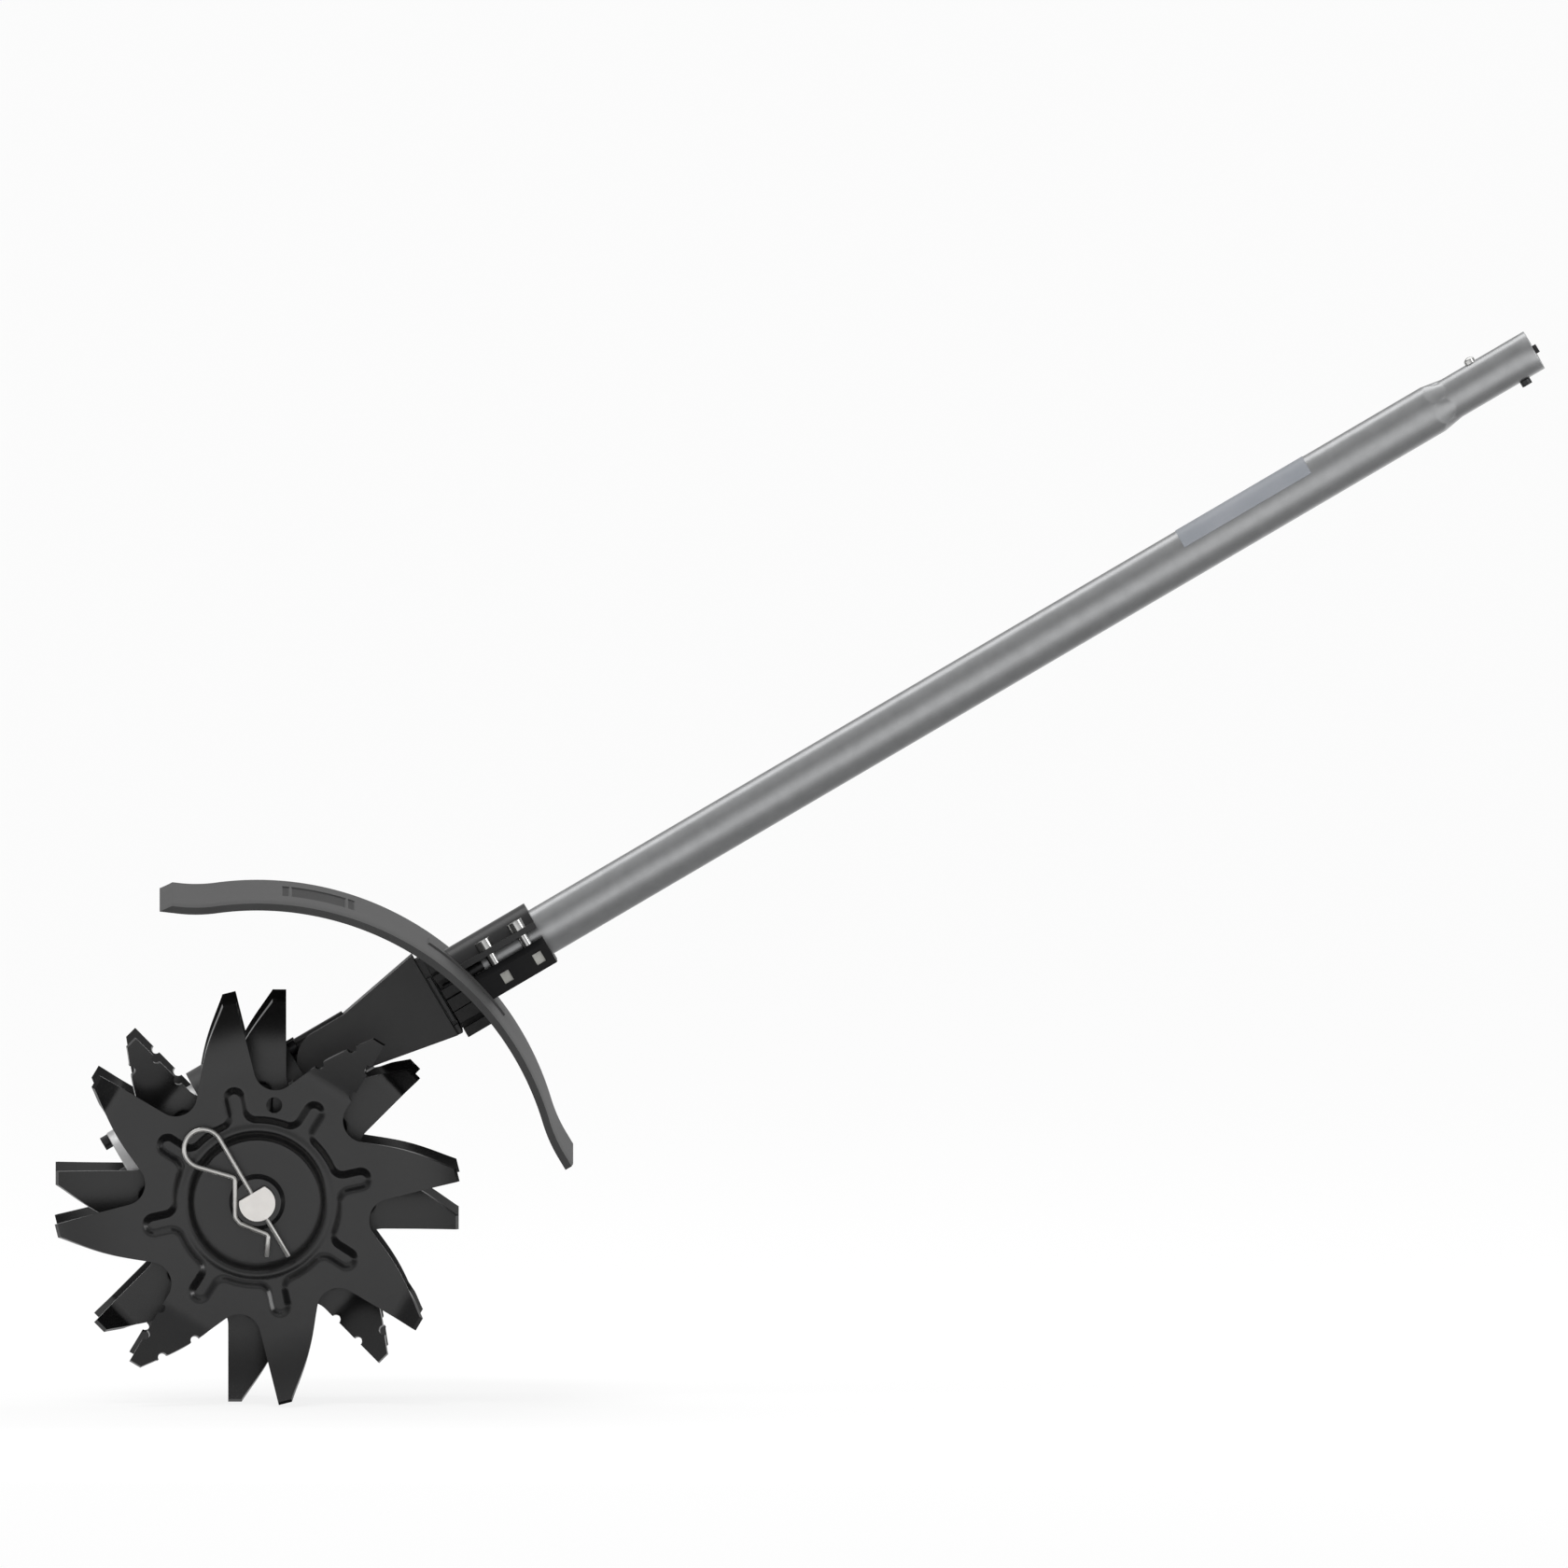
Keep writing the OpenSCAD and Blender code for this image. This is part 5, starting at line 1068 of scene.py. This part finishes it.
# The card is darkest under the tines, grey under the tube, and fades to the floor's white. Only mirror
# reflections see it.
CARD_REACH = 1.0
CARD_LIFT = 0.0005
CARD_DARK = 0.02
CARD_GREY = 0.34
CARD_PALE = 0.8
CARD_SIDE_FADE = (0.1, 1.0)
PAST_TINES_FADE = (-0.52, -0.38)
BEFORE_TINES_FADE = (-0.40, -0.30)
BEHIND_TINES_FADE = (-0.075, -0.03)
card_grey = bpy.data.materials.new("card_grey")
card_grey.use_nodes = True
card_tree = card_grey.node_tree
card_tree.nodes.remove(card_tree.nodes["Principled BSDF"])
card_glow = card_tree.nodes.new("ShaderNodeEmission")
card_place = card_tree.nodes.new("ShaderNodeTexCoord")
card_split = card_tree.nodes.new("ShaderNodeSeparateXYZ")
card_x, card_y, _ = card_split.outputs
card_depth = add_math(card_tree, "ABSOLUTE")
card_links = card_tree.links
card_links.new(card_place.outputs["Object"], card_split.inputs["Vector"])
card_links.new(card_y, card_depth.inputs[0])
card_away = card_depth.outputs[0]
card_level = add_fade(card_tree, card_away, *CARD_SIDE_FADE, CARD_GREY, 1.0, "SMOOTHSTEP")
card_past_tines = add_fade(card_tree, card_x, *PAST_TINES_FADE, 0.0, 1.0, "SMOOTHSTEP")
card_before_tines = add_fade(card_tree, card_y, *BEFORE_TINES_FADE, 1.0, CARD_DARK, "SMOOTHSTEP")
card_behind_tines = add_fade(card_tree, card_y, *BEHIND_TINES_FADE, CARD_DARK, CARD_PALE, "SMOOTHSTEP")
card_tines = add_math(card_tree, "MAXIMUM")
card_strength = card_tree.nodes.new("ShaderNodeMix")
card_links.new(card_before_tines, card_tines.inputs[0])
card_links.new(card_behind_tines, card_tines.inputs[1])
card_links.new(card_past_tines, card_strength.inputs["Factor"])
card_links.new(card_tines.outputs[0], card_strength.inputs["A"])
card_links.new(card_level, card_strength.inputs["B"])
card_links.new(card_strength.outputs["Result"], card_glow.inputs["Strength"])
card_links.new(card_glow.outputs["Emission"], card_tree.nodes["Material Output"].inputs["Surface"])
card = add_stage("under_card", CARD_REACH, FLOOR_Z + CARD_LIFT)
card.data.materials.append(card_grey)
card.visible_camera = False
card.visible_shadow = False
card.visible_diffuse = False

# The world, from the horizon up: each step's place and its level of grey
SKY_STEPS = (
    (0.0, 0.9), (0.17, 0.66), (0.42, 0.42), (0.6, 0.42),
    (0.74, 0.54), (0.87, 0.62), (0.96, 0.84), (1.0, 1.1),
)
world = bpy.data.worlds.new("studio")
bpy.context.scene.world = world
world.use_nodes = True
sky_tree = world.node_tree
sky = sky_tree.nodes["Background"]
sky_place = sky_tree.nodes.new("ShaderNodeTexCoord")
sky_split = sky_tree.nodes.new("ShaderNodeSeparateXYZ")
sky_ramp = sky_tree.nodes.new("ShaderNodeValToRGB")
for i, (place, level) in enumerate(SKY_STEPS):
    stop = sky_ramp.color_ramp.elements[i] if i < 2 else sky_ramp.color_ramp.elements.new(place)
    stop.position = place
    stop.color = (level, level, level, 1)
sky_tree.links.new(sky_place.outputs["Generated"], sky_split.inputs["Vector"])
sky_tree.links.new(sky_split.outputs["Z"], sky_ramp.inputs["Fac"])
sky_tree.links.new(sky_ramp.outputs["Color"], sky.inputs["Color"])

# The left side of the studio is dimmer
SIDE_LEVEL = 0.25
SIDE_FADE = (-0.95, -0.6)
sky_side = add_fade(sky_tree, sky_split.outputs["X"], *SIDE_FADE, SIDE_LEVEL, 1.0)
sky_tree.links.new(sky_side, sky.inputs["Strength"])

# The key is far away and broad, so it lights the whole floor alike
KEY_HEADING = Vector((0.5, 2.2, -3.6))
KEY_LEVEL = 1.45
KEY_BREADTH = 0.5
key_lamp = bpy.data.lights.new("key", "SUN")
key_lamp.energy = KEY_LEVEL
key_lamp.angle = KEY_BREADTH
key_light = bpy.data.objects.new("key", key_lamp)
key_light.rotation_euler = KEY_HEADING.to_track_quat("-Z", "Y").to_euler()
key_light.visible_glossy = False
key_light.visible_camera = False
bpy.context.scene.collection.objects.link(key_light)

# A softbox and a strip: place, aim, width and height, and watts
for name, place, aim, size, watts in (
    ("top_back", (-0.6, 1.3, 2.2), (-0.4, 0, -0.2), (4.0, 1.4), 24),
    ("right_strip", (1.2, -0.7, 0.2), (-0.66, 0, -0.4), (0.4, 1.2), 7),
):
    lamp = bpy.data.lights.new(name, "AREA")
    lamp.shape = "RECTANGLE"
    lamp.size, lamp.size_y = size
    lamp.energy = watts
    light = bpy.data.objects.new(name, lamp)
    light.location = place
    light.rotation_euler = (Vector(aim) - Vector(place)).to_track_quat("-Z", "Y").to_euler()
    light.visible_camera = False
    bpy.context.scene.collection.objects.link(light)

# The camera looks square on, from a little above, with a long lens's flat view
CAMERA_TARGET = Vector((-0.3800, 0, -0.2201))
CAMERA_RISE = math.radians(2.34)
CAMERA_DISTANCE = 30.0
CAMERA_RANGE = 400.0
FRAME_WIDTH = 0.79426
camera_back = Vector((0, -math.cos(CAMERA_RISE), math.sin(CAMERA_RISE)))
lens = bpy.data.cameras.new("camera")
lens.type = "ORTHO"
lens.ortho_scale = FRAME_WIDTH
lens.clip_end = CAMERA_RANGE
camera = bpy.data.objects.new("camera", lens)
camera.location = CAMERA_TARGET + CAMERA_DISTANCE * camera_back
camera.rotation_euler = (math.pi / 2 - CAMERA_RISE, 0, 0)
bpy.context.scene.collection.objects.link(camera)
bpy.context.scene.camera = camera
bpy.context.scene.view_settings.view_transform = "Standard"
